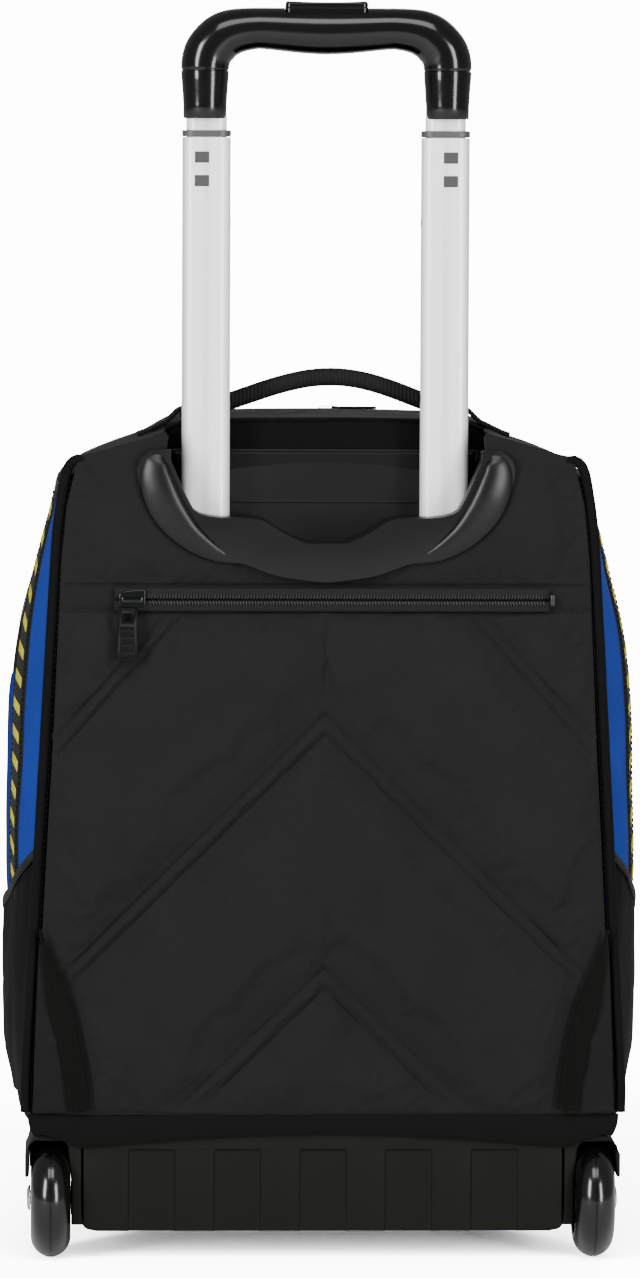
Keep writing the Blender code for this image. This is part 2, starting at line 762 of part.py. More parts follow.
def make_base():
    arch = [(BASE_X, 0.0650), (0.120, 0.0662), (0.080, 0.0697), (0.040, 0.0720), (0.0, 0.0727)]
    low = [(BASE_X - 0.012, BASE_LOW), (BASE_X - 0.0035, BASE_LOW + 0.0035), (BASE_X, BASE_LOW + 0.012)]
    base = back_plate("base_tray", [mirrored(low + arch)], (BASE_BACK, BASE_FRONT))
    wall = 0.003
    hollow_low = (-BASE_X + wall, BASE_BACK + 0.0045, BASE_LOW + wall)
    hollow_high = (BASE_X - wall, BASE_FRONT - wall, 0.1)
    cut(base, block("base_hollow", hollow_low, hollow_high, 0.010, 2, cutter=True))
    panel_half = 0.0140
    for i in range(-2, 3):
        middle = i * 0.0488
        low_corner = (middle - panel_half, -0.2, BASE_LOW + 0.002)
        high_corner = (middle + panel_half, BASE_BACK + 0.0011, 0.0630)
        cut(base, block(f"base_panel_{i + 2}", low_corner, high_corner, cutter=True))
    moulded(base)


def make_housing(side, s):
    """A wheel housing: an inner bracket that holds the axle, a roof and a short outer fender."""
    near, far = sorted((s * (BASE_X + 0.0005), s * 0.1695))
    housing = block("wheel_housing_" + side, (near, BASE_BACK, 0.020), (far, -0.050, 0.0728), 0.003, 2)
    cheek = BASE_X + 0.0052
    low, high = sorted((s * cheek, s * 0.2))
    cut(housing, block("fender_cut_" + side, (low, -0.2, 0.0), (high, 0.0, 0.047), cutter=True))
    start = (s * cheek, WHEEL_Y, WHEEL_R)
    end = (s * FENDER_X, WHEEL_Y, WHEEL_R)
    well = rod("wheel_well_" + side, start, end, WHEEL_R + 0.003, 32, True)
    cut(housing, well)
    hole = (s * 0.130, WHEEL_Y, WHEEL_R), (s * 0.150, WHEEL_Y, WHEEL_R)
    cut(housing, rod("axle_hole_" + side, *hole, AXLE_R + GAP, 16, True))
    moulded(housing)


def make_wheel(side, s):
    half = WHEEL_WIDTH / 2
    middle = (s * WHEEL_X, WHEEL_Y, WHEEL_R)
    rim = 0.0205
    turns = np.radians((78, 52, 26, 0, -26, -52, -78))
    crown = [(WHEEL_R * (1 - 0.36 * (1 - math.cos(a))), half * math.sin(a)) for a in turns]
    tyre_profile = [(rim, half * 0.98)] + crown + [(rim, -half * 0.98)]
    tyre = turned("tyre_" + side, tyre_profile, middle, 40)
    shade_smooth(tyre)
    glossy(tyre)
    shape = [(AXLE_R + GAP, half), (0.0090, half), (0.0098, half * 0.62)]
    shape += [(0.0180, half * 0.50), (rim - GAP, half * 0.80)]
    hub = turned("wheel_hub_" + side, shape + [(r, -h) for r, h in reversed(shape)], middle, 32)
    shade_smooth(hub)
    glossy(hub)
    start = s * (BASE_X + 0.0007)
    head = s * (WHEEL_X + half + 0.0005)
    points = [(x, WHEEL_Y, WHEEL_R) for x in (start, head, head + s * 0.001, head + s * 0.0018)]
    axle = rod("wheel_axle_" + side, points[0], points[2], AXLE_R, 16)
    cap = rod("axle_head_" + side, points[1], points[3], 0.0072, 16, True)
    joined_to(axle, cap)
    steel(axle)
    return tyre, hub


def make_feet():
    for side, s in sides():
        low, high = sorted((s * 0.078, s * 0.118))
        foot = block("front_foot_" + side, (low, 0.070, 0.0), (high, 0.092, BASE_LOW - GAP), 0.0025, 2)
        rubber(foot)


# Assembly

def carried(joint, place, *pieces):
    """Puts pieces on an empty that sits on their joint's axis."""
    empty = bpy.data.objects.new(joint, None)
    empty.location = place
    PARTS.objects.link(empty)
    for piece in pieces:
        piece.parent = empty
        piece.matrix_parent_inverse = Matrix.Translation(-Vector(place))
    return empty


def main():
    make_shell()
    make_back()
    make_trim()
    make_side_pockets()
    make_straps()
    make_front_pockets()
    make_cup()
    make_sleeves()
    make_base()
    make_feet()
    handle = make_carry_handle()
    carried("carry_handle_tilt", (0, HANDLE_Y, HANDLE_PIVOT_Z), handle)
    carried("handle_outer_slide", (0, TUBE_Y, OUTER_Z[0]), *make_outer_stage())
    pins, springs = make_locks()
    carried("handle_inner_slide", (0, TUBE_Y, INNER_Z[0]), make_grip(), *make_inner_stage(), *springs)
    carried("release_button_press", (0, TUBE_Y, BUTTON_TOP), *make_button())
    for (side, s), pin in zip(sides(), pins):
        carried("lock_pin_slide_" + side, (s * 0.0556, TUBE_Y, PIN_Z), pin)
    for side, s in sides():
        make_housing(side, s)
        carried("wheel_spin_" + side, (s * WHEEL_X, WHEEL_Y, WHEEL_R), *make_wheel(side, s))
    slider, pull = make_main_zip()
    carried("main_zip_slide", (0.0065, LID_SEAM_Y, MAIN_SLIDER_Z[0]), slider)
    carried("main_zip_pull_swing", MAIN_PIVOT, pull)
    pivot_drop = PULL_TOP + PULL_TAIL
    slider, pull = flat_zip("back_zip", BACK_ZIP_X, BACK_ZIP_Z, PANEL_OUTER_Y, -1, -0.1170)
    carried("back_zip_slide", (-0.1095, PANEL_OUTER_Y, BACK_ZIP_Z), slider)
    carried("back_zip_pull_swing", (-0.1123, PANEL_OUTER_Y - PULL_OUT, BACK_ZIP_Z - pivot_drop), pull)
    slider, pull = flat_zip("front_zip", (-0.105, 0.105), FRONT_ZIP_Z, UPPER_POCKET_Y, 1, -0.0980)
    carried("front_zip_slide", (-0.0905, UPPER_POCKET_Y, FRONT_ZIP_Z), slider)
    carried("front_zip_pull_swing", (-0.0933, UPPER_POCKET_Y + PULL_OUT, FRONT_ZIP_Z - pivot_drop), pull)
    lid_parts = ("front_lid", "front_pocket_upper", "main_zip_lid_side", "front_zip_chain")
    carried("lid_open", (0, BAG_FRONT + 0.0002, FOLD_Z), *(bpy.data.objects[name] for name in lid_parts))


main()
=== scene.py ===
"""The looks of the wheeled backpack: fabric by cloth simulation and lofted shells, moulded parts, metal and zips."""

import math
from contextlib import contextmanager

import bmesh
import bpy
import numpy as np
from mathutils import Matrix, Vector, noise


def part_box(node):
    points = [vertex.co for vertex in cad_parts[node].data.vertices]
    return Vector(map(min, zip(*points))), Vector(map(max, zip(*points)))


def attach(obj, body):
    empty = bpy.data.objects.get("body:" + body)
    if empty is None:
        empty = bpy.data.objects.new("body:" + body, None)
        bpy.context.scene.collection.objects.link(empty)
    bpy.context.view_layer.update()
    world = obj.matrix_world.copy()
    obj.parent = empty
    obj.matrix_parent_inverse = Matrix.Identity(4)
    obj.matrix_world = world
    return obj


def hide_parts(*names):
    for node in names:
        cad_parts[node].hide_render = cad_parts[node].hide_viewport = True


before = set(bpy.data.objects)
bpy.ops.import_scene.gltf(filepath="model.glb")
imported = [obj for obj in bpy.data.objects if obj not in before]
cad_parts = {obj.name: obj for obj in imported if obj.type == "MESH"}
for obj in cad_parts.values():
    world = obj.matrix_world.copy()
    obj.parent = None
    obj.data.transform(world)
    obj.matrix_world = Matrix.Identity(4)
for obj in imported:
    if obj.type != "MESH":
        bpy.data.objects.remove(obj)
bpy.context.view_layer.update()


# Places taken from the frame

def low(node):
    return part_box(node)[0]


def high(node):
    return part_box(node)[1]


def middle(node):
    return (low(node) + high(node)) / 2


SIDES = (("left", -1), ("right", 1))
BACKWARD = np.array((0, -1.0, 0))
PANEL_Y = low("back_panel").y
PANEL_LOW = low("back_panel").z
BAG_BACK = low("main_body").y
BAG_FRONT = high("main_body").y
BAG_LOW = low("main_body").z
LID_Y = low("front_lid").y
FOLD_Z = low("front_lid").z
TUBE = middle("outer_tube_right")
TUBE_TOP = high("outer_tube_right").z
TUBE_LOW = low("outer_tube_right").z
BASE_HIGH = high("base_tray")
BASE_LOW = low("base_tray")
WHEEL = middle("tyre_right")
WHEEL_R = (high("tyre_right").z - low("tyre_right").z) / 2


# Numbers and curves

def smooth_curve(x, xs, ys):
    """A smooth curve through the given points, at x."""
    x, xs, ys = np.asarray(x, float), np.asarray(xs, float), np.asarray(ys, float)
    slope = np.gradient(ys, xs)
    i = np.clip(np.searchsorted(xs, x) - 1, 0, len(xs) - 2)
    width = xs[i + 1] - xs[i]
    t = np.clip((x - xs[i]) / width, 0, 1)
    start = (1 + 2 * t) * (1 - t) ** 2 * ys[i] + t * (1 - t) ** 2 * width * slope[i]
    end = t * t * (3 - 2 * t) * ys[i + 1] + t * t * (t - 1) * width * slope[i + 1]
    return start + end


def dense(points, steps):
    """A smooth path through points, with this many steps between each two."""
    points = np.array(points, float)
    stations = np.arange(len(points))
    fine = np.linspace(0, len(points) - 1, (len(points) - 1) * steps + 1)
    return np.stack([smooth_curve(fine, stations, points[:, k]) for k in range(points.shape[1])], axis=1)


def lengths(path):
    return np.concatenate([[0], np.cumsum(np.linalg.norm(np.diff(path, axis=0), axis=1))])


def resampled(path, step):
    """The path with points this far apart."""
    path = np.array(path, float)
    run = lengths(path)
    count = max(2, int(round(run[-1] / step)) + 1)
    at = np.linspace(0, run[-1], count)
    return np.stack([np.interp(at, run, path[:, k]) for k in range(path.shape[1])], axis=1)


def soft_step(x, start, end):
    t = np.clip((np.asarray(x, float) - start) / (end - start), 0, 1)
    return t * t * (3 - 2 * t)


def ripple(place, size, seed=0.0):
    """Smooth noise between -1 and 1, with features of this size."""
    p = Vector(place) / size + Vector((seed, seed * 1.7, seed * 0.3))
    return noise.noise(p)


def unit(vectors):
    """The rows of an array, each scaled to a length of 1."""
    return vectors / np.linalg.norm(vectors, axis=1)[:, None]


def oval(a, b, count, power=1.0):
    """A closed outline with half axes a and b, from count - 1 points. A power under 1 squares it off."""
    turns = np.linspace(0, 2 * math.pi, count)[:-1]
    return [(a * squared(math.cos(t), power), b * squared(math.sin(t), power)) for t in turns]


def squared(value, power):
    """A sine or cosine pushed towards 1 or -1, which turns an oval into a rounded box."""
    return math.copysign(abs(value) ** power, value)


def grid_of(point, rows, cols, left=0.0):
    """Rows of point(u, v), with v from 0 to 1 up the rows and u from left to 1 along them."""
    return [[point(u, v) for u in np.linspace(left, 1, cols)] for v in np.linspace(0, 1, rows)]


def sampled(values, run, at):
    """Values given along a path, read off at one distance along it."""
    return np.array([np.interp(at, run, values[:, k]) for k in range(values.shape[1])])


def frames_along(path, outs, places):
    """The point, the direction, the outward direction and the sideways one at each of these distances along a path."""
    path, outs = np.array(path, float), np.array(outs, float)
    run = lengths(path)
    for at in places(run[-1]):
        along = sampled(path, run, min(at + 0.001, run[-1])) - sampled(path, run, max(at - 0.001, 0))
        along /= np.linalg.norm(along)
        out = outs if outs.ndim == 1 else sampled(outs, run, at)
        out = out - along * np.dot(out, along)
        out /= np.linalg.norm(out)
        yield sampled(path, run, at), along, out, np.cross(along, out)


# Meshes

def smoothed(obj, crease=None):
    """Smooth shading, with edges sharper than crease degrees left crisp."""
    obj.data.shade_smooth()
    if crease:
        obj.data.set_sharp_from_angle(angle=math.radians(crease))
    return obj


def finished(name, mesh, crease=None):
    obj = bpy.data.objects.new(name, mesh)
    bpy.context.scene.collection.objects.link(obj)
    return smoothed(obj, crease)


@contextmanager
def edited(obj):
    """Opens the object's mesh for editing, and turns its faces outwards before it is put back."""
    bm = bmesh.new()
    bm.from_mesh(obj.data)
    yield bm
    bmesh.ops.recalc_face_normals(bm, faces=bm.faces)
    bm.to_mesh(obj.data)
    bm.free()


def capped(obj):
    """The object with its open ends filled in."""
    with edited(obj) as bm:
        bmesh.ops.holes_fill(bm, edges=[e for e in bm.edges if e.is_boundary], sides=0)
    return obj


def from_grid(name, grid, wrap=False, keep=None):
    """A sheet of faces over a grid of points, leaving out faces that keep says no to."""
    grid = np.asarray(grid, float)
    rows, cols = grid.shape[:2]
    last = cols if wrap else cols - 1
    i, j = np.meshgrid(np.arange(rows - 1), np.arange(last), indexing="ij")
    k = (j + 1) % cols
    faces = np.stack([i * cols + j, i * cols + k, (i + 1) * cols + k, (i + 1) * cols + j], axis=-1).reshape(-1, 4)
    points = grid.reshape(-1, 3)
    if keep is not None:
        centres = points[faces].mean(axis=1)
        faces = faces[keep(centres)]
    used, again = np.unique(faces, return_inverse=True)
    mesh = bpy.data.meshes.new(name)
    mesh.from_pydata(points[used].tolist(), [], again.reshape(-1, 4).tolist())
    mesh.validate()
    return finished(name, mesh)


def from_bmesh(name, bm, crease=35):
    bmesh.ops.recalc_face_normals(bm, faces=bm.faces)
    mesh = bpy.data.meshes.new(name)
    bm.to_mesh(mesh)
    bm.free()
    return finished(name, mesh, crease)


def applied(obj):
    """The object with its modifiers made real."""
    graph = bpy.context.evaluated_depsgraph_get()
    mesh = bpy.data.meshes.new_from_object(obj.evaluated_get(graph))
    obj.modifiers.clear()
    obj.data = mesh
    return obj


def rounded(obj, width, segments=3, angle=30):
    """Rounds the edges that turn by more than angle degrees."""
    bevel = obj.modifiers.new("rounded edges", "BEVEL")
    bevel.width = width
    bevel.segments = segments
    bevel.limit_method = "ANGLE"
    bevel.angle_limit = math.radians(angle)
    bevel.harden_normals = False
    return applied(obj)


def thickened(obj, thickness, side=-1.0):
    solidify = obj.modifiers.new("thickness", "SOLIDIFY")
    solidify.thickness = thickness
    solidify.offset = side
    return obj


def sheet(name, grid, thickness, side=0.0):
    """A piece of cloth or a thin wall over a grid of points."""
    return applied(thickened(from_grid(name, grid), thickness, side))


def cut(obj, cutter, operation="DIFFERENCE"):
    """Cuts one mesh with another, which is used up."""
    boolean = obj.modifiers.new("cut", "BOOLEAN")
    boolean.operation = operation
    boolean.object = cutter
    applied(obj)
    bpy.data.objects.remove(cutter)
    return obj


def block(name, start, end, round_by=0.0, segments=3):
    bm = bmesh.new()
    start, end = Vector(start), Vector(end)
    bmesh.ops.create_cube(bm, size=1.0)
    bmesh.ops.scale(bm, vec=[abs(s) for s in end - start], verts=bm.verts)
    bmesh.ops.translate(bm, vec=(start + end) / 2, verts=bm.verts)
    obj = from_bmesh(name, bm)
    return smoothed(rounded(obj, round_by, segments)) if round_by else obj


def rod(name, start, end, radius, sides=32, round_by=0.0):
    start, end = Vector(start), Vector(end)
    bm = bmesh.new()
    bmesh.ops.create_cone(bm, cap_ends=True, segments=sides, radius1=radius, radius2=radius, depth=(end - start).length)
    turn = (end - start).to_track_quat("Z", "Y").to_matrix().to_4x4()
    bmesh.ops.transform(bm, matrix=Matrix.Translation((start + end) / 2) @ turn, verts=bm.verts)
    obj = from_bmesh(name, bm)
    return rounded(obj, round_by, 2) if round_by else obj


def rounded_rectangle(width, height, radius, steps=8):
    points = []
    for corner in range(4):
        sx = 1 if corner in (0, 3) else -1
        sy = 1 if corner in (0, 1) else -1
        for step in range(steps + 1):
            angle = math.pi / 2 * (corner + step / steps)
            x = sx * (width / 2 - radius) + radius * math.cos(angle)
            y = sy * (height / 2 - radius) + radius * math.sin(angle)
            points.append((x, y))
    return points


def mirrored(right_half):
    return list(right_half) + [(-x, z) for x, z in reversed(right_half) if x > 1e-6]


def prism(name, corners, run):
    """A flat outline carried along a straight run."""
    bm = bmesh.new()
    bm.faces.new([bm.verts.new(corner) for corner in corners])
    made = bmesh.ops.extrude_face_region(bm, geom=list(bm.faces))
    moved = [g for g in made["geom"] if isinstance(g, bmesh.types.BMVert)]
    bmesh.ops.translate(bm, vec=run, verts=moved)
    return from_bmesh(name, bm)


def plate(name, outline, y_near, y_far):
    """A plate with its outline in X and Z, between two depths in Y."""
    return prism(name, [(x, y_near, z) for x, z in outline], (0, y_far - y_near, 0))


def upright(name, outline, x, y, z_low, z_high, round_by=0.0):
    """A bar along Z whose section is given about its own middle."""
    obj = prism(name, [(x + a, y + b, z_low) for a, b in outline], (0, 0, z_high - z_low))
    return rounded(obj, round_by, 2) if round_by else obj


def bridged(name, rows, crease=35, caps=False):
    """A skin over closed rings of points, each joined to the next."""
    bm = bmesh.new()
    made = []
    for row in rows:
        made.append(made[0] if row is rows[0] and made else [bm.verts.new(p) for p in row])
    count = len(made[0])
    for row, after in zip(made, made[1:]):
        for i in range(count):
            j = (i + 1) % count
            bm.faces.new((row[i], row[j], after[j], after[i]))
    if caps:
        bm.faces.new(made[0])
        bm.faces.new(made[-1])
    return from_bmesh(name, bm, crease)


def hollow_upright(name, outer, inner, x, y, z_low, z_high):
    """A tube along Z, from an outer and an inner section with equal numbers of points."""
    rings = []
    lip = 0.0004
    outer, inner = np.array(outer), np.array(inner)
    shrunk = outer * (1 - lip / np.linalg.norm(outer, axis=1)[:, None])
    order = [(inner, z_low), (shrunk, z_low), (outer, z_low + lip), (outer, z_high - lip), (shrunk, z_high)]
    order += [(inner, z_high), (inner, z_low)]
    for section, z in order:
        rings.append(np.column_stack([x + section[:, 0], y + section[:, 1], np.full(len(section), z)]))
    return bridged(name, rings[:-1] + rings[:1])


def turned(name, profile, place, steps=96):
    """A closed profile of (radius, offset) turned about an axis along X."""
    angles = np.linspace(0, 2 * math.pi, steps, endpoint=False)
    grid = [[(place[0] + h, place[1] + r * math.cos(a), place[2] + r * math.sin(a)) for a in angles]
            for r, h in profile + profile[:1]]
    obj = from_grid(name, grid, wrap=True)
    with edited(obj) as bm:
        bmesh.ops.remove_doubles(bm, verts=bm.verts, dist=1e-6)
    return smoothed(obj, 35)


def swept(name, path, section, ups, sizes=None):
    """A section of (across, out) points carried along a path; ups gives the outward direction at each point."""
    path = np.array(path, float)
    along = unit(np.gradient(path, axis=0))
    ups = np.array(ups, float)
    if ups.ndim == 1:
        ups = np.repeat(ups[None], len(path), axis=0)
    ups = unit(ups - along * np.sum(ups * along, axis=1)[:, None])
    across = np.cross(along, ups)
    section = np.array(section, float)
    rings = []
    for i in range(len(path)):
        size = 1.0 if sizes is None else sizes[i]
        rings.append(path[i] + size * (section[:, :1] * across[i] + section[:, 1:] * ups[i]))
    return bridged(name, rings, 50, caps=True)


def joined(name, objects):
    """Several mesh objects made one."""
    bm = bmesh.new()
    materials = []
    for obj in objects:
        start = len(bm.faces)
        bm.from_mesh(obj.data)
        bm.faces.ensure_lookup_table()
        for face in bm.faces[start:]:
            if not obj.data.materials:
                continue
            material = obj.data.materials[face.material_index]
            if material not in materials:
                materials.append(material)
            face.material_index = materials.index(material)
    mesh = bpy.data.meshes.new(name)
    bm.to_mesh(mesh)
    bm.free()
    for material in materials:
        mesh.materials.append(material)
    for obj in objects:
        bpy.data.objects.remove(obj)
    made = bpy.data.objects.new(name, mesh)
    bpy.context.scene.collection.objects.link(made)
    return made


def stitches(name, runs, pitch=0.0034, length=0.0023, radius=0.00034):
    """Rows of sewing stitches: each run is a path with the outward direction at its points."""
    verts, faces = [], []
    shape = ((-0.5, 0.15), (-0.3, 0.9), (0.3, 0.9), (0.5, 0.15))

    def places(whole):
        count = int(whole / pitch)
        return [(n + 0.5) * whole / count for n in range(count)]

    for path, outs in runs:
        for place, along, out, side in frames_along(path, outs, places):
            first = len(verts)
            for share, size in shape:
                for a, b in ((1, 0), (0, 1), (-1, 0), (0, -1)):
                    verts.append(place + along * share * length + radius * size * (a * side + b * out))
            for ring in range(3):
                for q in range(4):
                    r = (q + 1) % 4
                    a, b = first + ring * 4, first + ring * 4 + 4
                    faces.append((a + q, a + r, b + r, b + q))
            faces.append((first + 3, first + 2, first + 1, first))
            faces.append((first + 12, first + 13, first + 14, first + 15))
    mesh = bpy.data.meshes.new(name)
    mesh.from_pydata([v.tolist() for v in verts], [], faces)
    return finished(name, mesh, 60)


# Materials

class Look:
    """A material under construction: short names for making and linking its nodes."""

    def __init__(self, name, slot):
        self.material = bpy.data.materials.new(name)
        self.material.use_nodes = True
        self.tree = self.material.node_tree
        self.shader = self.tree.nodes["Principled BSDF"]
        self.place = self.add("ShaderNodeTexCoord").outputs["Object"]
        self.material["slot"] = slot
        self.heights = []

    def add(self, kind, **settings):
        node = self.tree.nodes.new(kind)
        for key, value in settings.items():
            setattr(node, key, value)
        return node

    def link(self, source, target):
        self.tree.links.new(source, target)

    def maths(self, operation, a, b=None, c=None):
        node = self.add("ShaderNodeMath", operation=operation)
        for socket, value in zip(node.inputs, (a, b, c)):
            if value is None:
                continue
            if isinstance(value, (int, float)):
                socket.default_value = value
            else:
                self.link(value, socket)
        return node.outputs[0]

    def noise(self, size, detail=3.0, roughness=0.55, stretch=(1, 1, 1)):
        """Noise with features of this size in metres, stretched along an axis where stretch is above 1."""
        node = self.add("ShaderNodeTexNoise")
        node.inputs["Scale"].default_value = 1.0 / size
        node.inputs["Detail"].default_value = detail
        node.inputs["Roughness"].default_value = roughness
        source = self.place
        if stretch != (1, 1, 1):
            mapping = self.add("ShaderNodeMapping")
            mapping.inputs["Scale"].default_value = [1 / s for s in stretch]
            self.link(self.place, mapping.inputs["Vector"])
            source = mapping.outputs[0]
        self.link(source, node.inputs["Vector"])
        return node.outputs["Fac"]

    def axes(self):
        split = self.add("ShaderNodeSeparateXYZ")
        self.link(self.place, split.inputs[0])
        return split.outputs

    def facing(self):
        """How far the surface looks along each axis of the object, as three shares."""
        split = self.add("ShaderNodeSeparateXYZ")
        normal = self.add("ShaderNodeTexCoord").outputs["Normal"]
        self.link(normal, split.inputs[0])
        return [self.maths("POWER", self.maths("ABSOLUTE", out), 4.0) for out in split.outputs]

    def blend(self, a, a_share, b, b_share):
        return self.maths("ADD", self.maths("MULTIPLY", a, a_share), self.maths("MULTIPLY", b, b_share))

    def weave(self, pitch):
        """A plain weave with threads this far apart on every side of the piece: 0 in the gaps and 1 on the threads."""
        waves = [self.maths("SINE", self.maths("MULTIPLY", out, 2 * math.pi / pitch)) for out in self.axes()]
        share = self.facing()
        total = None
        for axis, (a, b) in enumerate(((1, 2), (0, 2), (0, 1))):
            part = self.maths("MULTIPLY", self.maths("MULTIPLY", waves[a], waves[b]), share[axis])
            total = part if total is None else self.maths("ADD", total, part)
        weight = self.maths("ADD", self.maths("ADD", share[0], share[1]), share[2])
        return self.maths("MULTIPLY_ADD", self.maths("DIVIDE", total, weight), 0.5, 0.5)

    def ramp(self, source, stops):
        node = self.add("ShaderNodeValToRGB")
        while len(node.color_ramp.elements) < len(stops):
            node.color_ramp.elements.new(0.5)
        for element, (at, color) in zip(node.color_ramp.elements, stops):
            element.position = at
            element.color = (*color, 1) if len(color) == 3 else color
        self.link(source, node.inputs[0])
        return node.outputs["Color"]

    def tint(self, source, dark, light):
        self.link(self.ramp(source, ((0.25, dark), (0.75, light))), self.shader.inputs["Base Color"])

    def rough(self, source, lowest, highest):
        value = self.maths("MULTIPLY_ADD", source, highest - lowest, lowest)
        self.link(value, self.shader.inputs["Roughness"])

    def bump(self, source, depth, strength=1.0):
        node = self.add("ShaderNodeBump")
        node.inputs["Distance"].default_value = depth
        node.inputs["Strength"].default_value = strength
        self.link(source, node.inputs["Height"])
        if self.heights:
            self.link(self.heights[-1], node.inputs["Normal"])
        self.heights.append(node.outputs[0])
        self.link(node.outputs[0], self.shader.inputs["Normal"])

    def fixed(self, **values):
        for name, value in values.items():
            self.shader.inputs[name.replace("_", " ")].default_value = value


def grey(level):
    return (level, level, level)


def shade(color, factor):
    return tuple(c * factor for c in color)


def woven(name, slot, color, pitch=0.0011, depth=0.00022, rough=(0.72, 0.92), sheen=0.05, wear=0.35):
    look = Look(name, slot)
    threads = look.weave(pitch)
    cloudy = look.noise(0.035, 4)
    fine = look.noise(0.0022, 2)
    mixed = look.blend(threads, 0.45, cloudy, wear)
    mixed = look.maths("ADD", mixed, look.maths("MULTIPLY", fine, 0.55 - wear * 0.5))
    look.tint(mixed, shade(color, 0.62), shade(color, 1.42))
    look.rough(fine, *rough)
    look.bump(look.noise(0.012, 3), 0.00035, 0.6)
    look.bump(threads, depth, 0.8)
    look.fixed(Sheen_Weight=sheen, Sheen_Roughness=0.45, Specular_IOR_Level=0.10)
    return look.material


def ribbed(name, slot, color, axis, pitch=0.0016, depth=0.0003, rough=(0.6, 0.85), spec=0.3):
    """Webbing: ribs across the run of the strap, with fine threads between them."""
    look = Look(name, slot)
    place = look.axes()
    if isinstance(axis, int):
        along = place[axis]
    else:
        along = look.blend(place[0], axis[0], place[2], axis[1])
    ribs = look.maths("SINE", look.maths("MULTIPLY", along, 2 * math.pi / pitch))
    ribs = look.maths("MULTIPLY_ADD", ribs, 0.5, 0.5)
    threads = look.weave(pitch * 0.55)
    fine = look.noise(0.003, 3)
    look.tint(look.blend(ribs, 0.4, fine, 0.6), shade(color, 0.6), shade(color, 1.5))
    look.rough(fine, *rough)
    look.bump(threads, depth * 0.4, 0.7)
    look.bump(ribs, depth, 0.9)
    look.fixed(Sheen_Weight=0.03, Sheen_Roughness=0.4, Specular_IOR_Level=spec * 0.6)
    return look.material


def moulded(name, slot, color, rough=(0.38, 0.5), grain=0.0007, depth=0.00006, spec=0.5, coat=0.0, scratch=0.25):
    look = Look(name, slot)
    fine = look.noise(grain, 3)
    broad = look.noise(0.045, 4)
    scuffs = look.noise(0.0035, 5, 0.7, (9, 1, 1))
    look.tint(look.blend(broad, 0.65, fine, 0.35), shade(color, 0.86), shade(color, 1.16))
    wear = look.maths("MULTIPLY_ADD", scuffs, scratch, look.maths("MULTIPLY", broad, 1 - scratch))
    look.rough(wear, *rough)
    look.bump(broad, 0.0002, 0.25)
    look.bump(fine, depth, 0.6)
    look.fixed(Specular_IOR_Level=spec, Coat_Weight=coat, Coat_Roughness=0.05)
    return look.material


def metal(name, slot, color, rough=(0.22, 0.36), grain_axis=2):
    look = Look(name, slot)
    stretch = [1, 1, 1]
    stretch[grain_axis] = 60
    brushed = look.noise(0.0005, 3, 0.6, tuple(stretch))
    broad = look.noise(0.03, 3)
    look.tint(look.blend(brushed, 0.4, broad, 0.6), shade(color, 0.93), shade(color, 1.05))
    look.rough(look.blend(brushed, 0.6, broad, 0.4), *rough)
    look.bump(brushed, 0.00002, 0.5)
    look.fixed(Metallic=1.0)
    return look.material


def anodised(name, slot):
    """Satin aluminium tube with painted shade across its face: darker at both edges and in a soft upright stripe near
    the middle.
    """
    look = Look(name, slot)
    across = look.maths("ABSOLUTE", look.axes()[0])
    across = look.maths("DIVIDE", look.maths("SUBTRACT", across, TUBE.x - 0.0140), 0.0280)
    brushed = look.noise(0.0005, 3, 0.6, (1, 1, 60))
    # Painted shade: the colour drops at both edges and in a stripe near the middle, where light falls off over the
    # tube's rounded edges and facets.
    painted_shade_bands = ((0.0, 0.55), (0.10, 0.93), (0.38, 0.98), (0.52, 0.80), (0.66, 0.97), (0.90, 0.92), (1.0, 0.55))
    stops = [(at, (b, b * 0.99, b * 0.975)) for at, b in painted_shade_bands]
    color = look.ramp(look.maths("MULTIPLY_ADD", brushed, 0.03, across), stops)
    look.link(color, look.shader.inputs["Base Color"])
    look.rough(brushed, 0.26, 0.38)
    look.bump(brushed, 0.00001, 0.5)
    look.fixed(Metallic=0.10, Anisotropic=0.3)
    return look.material


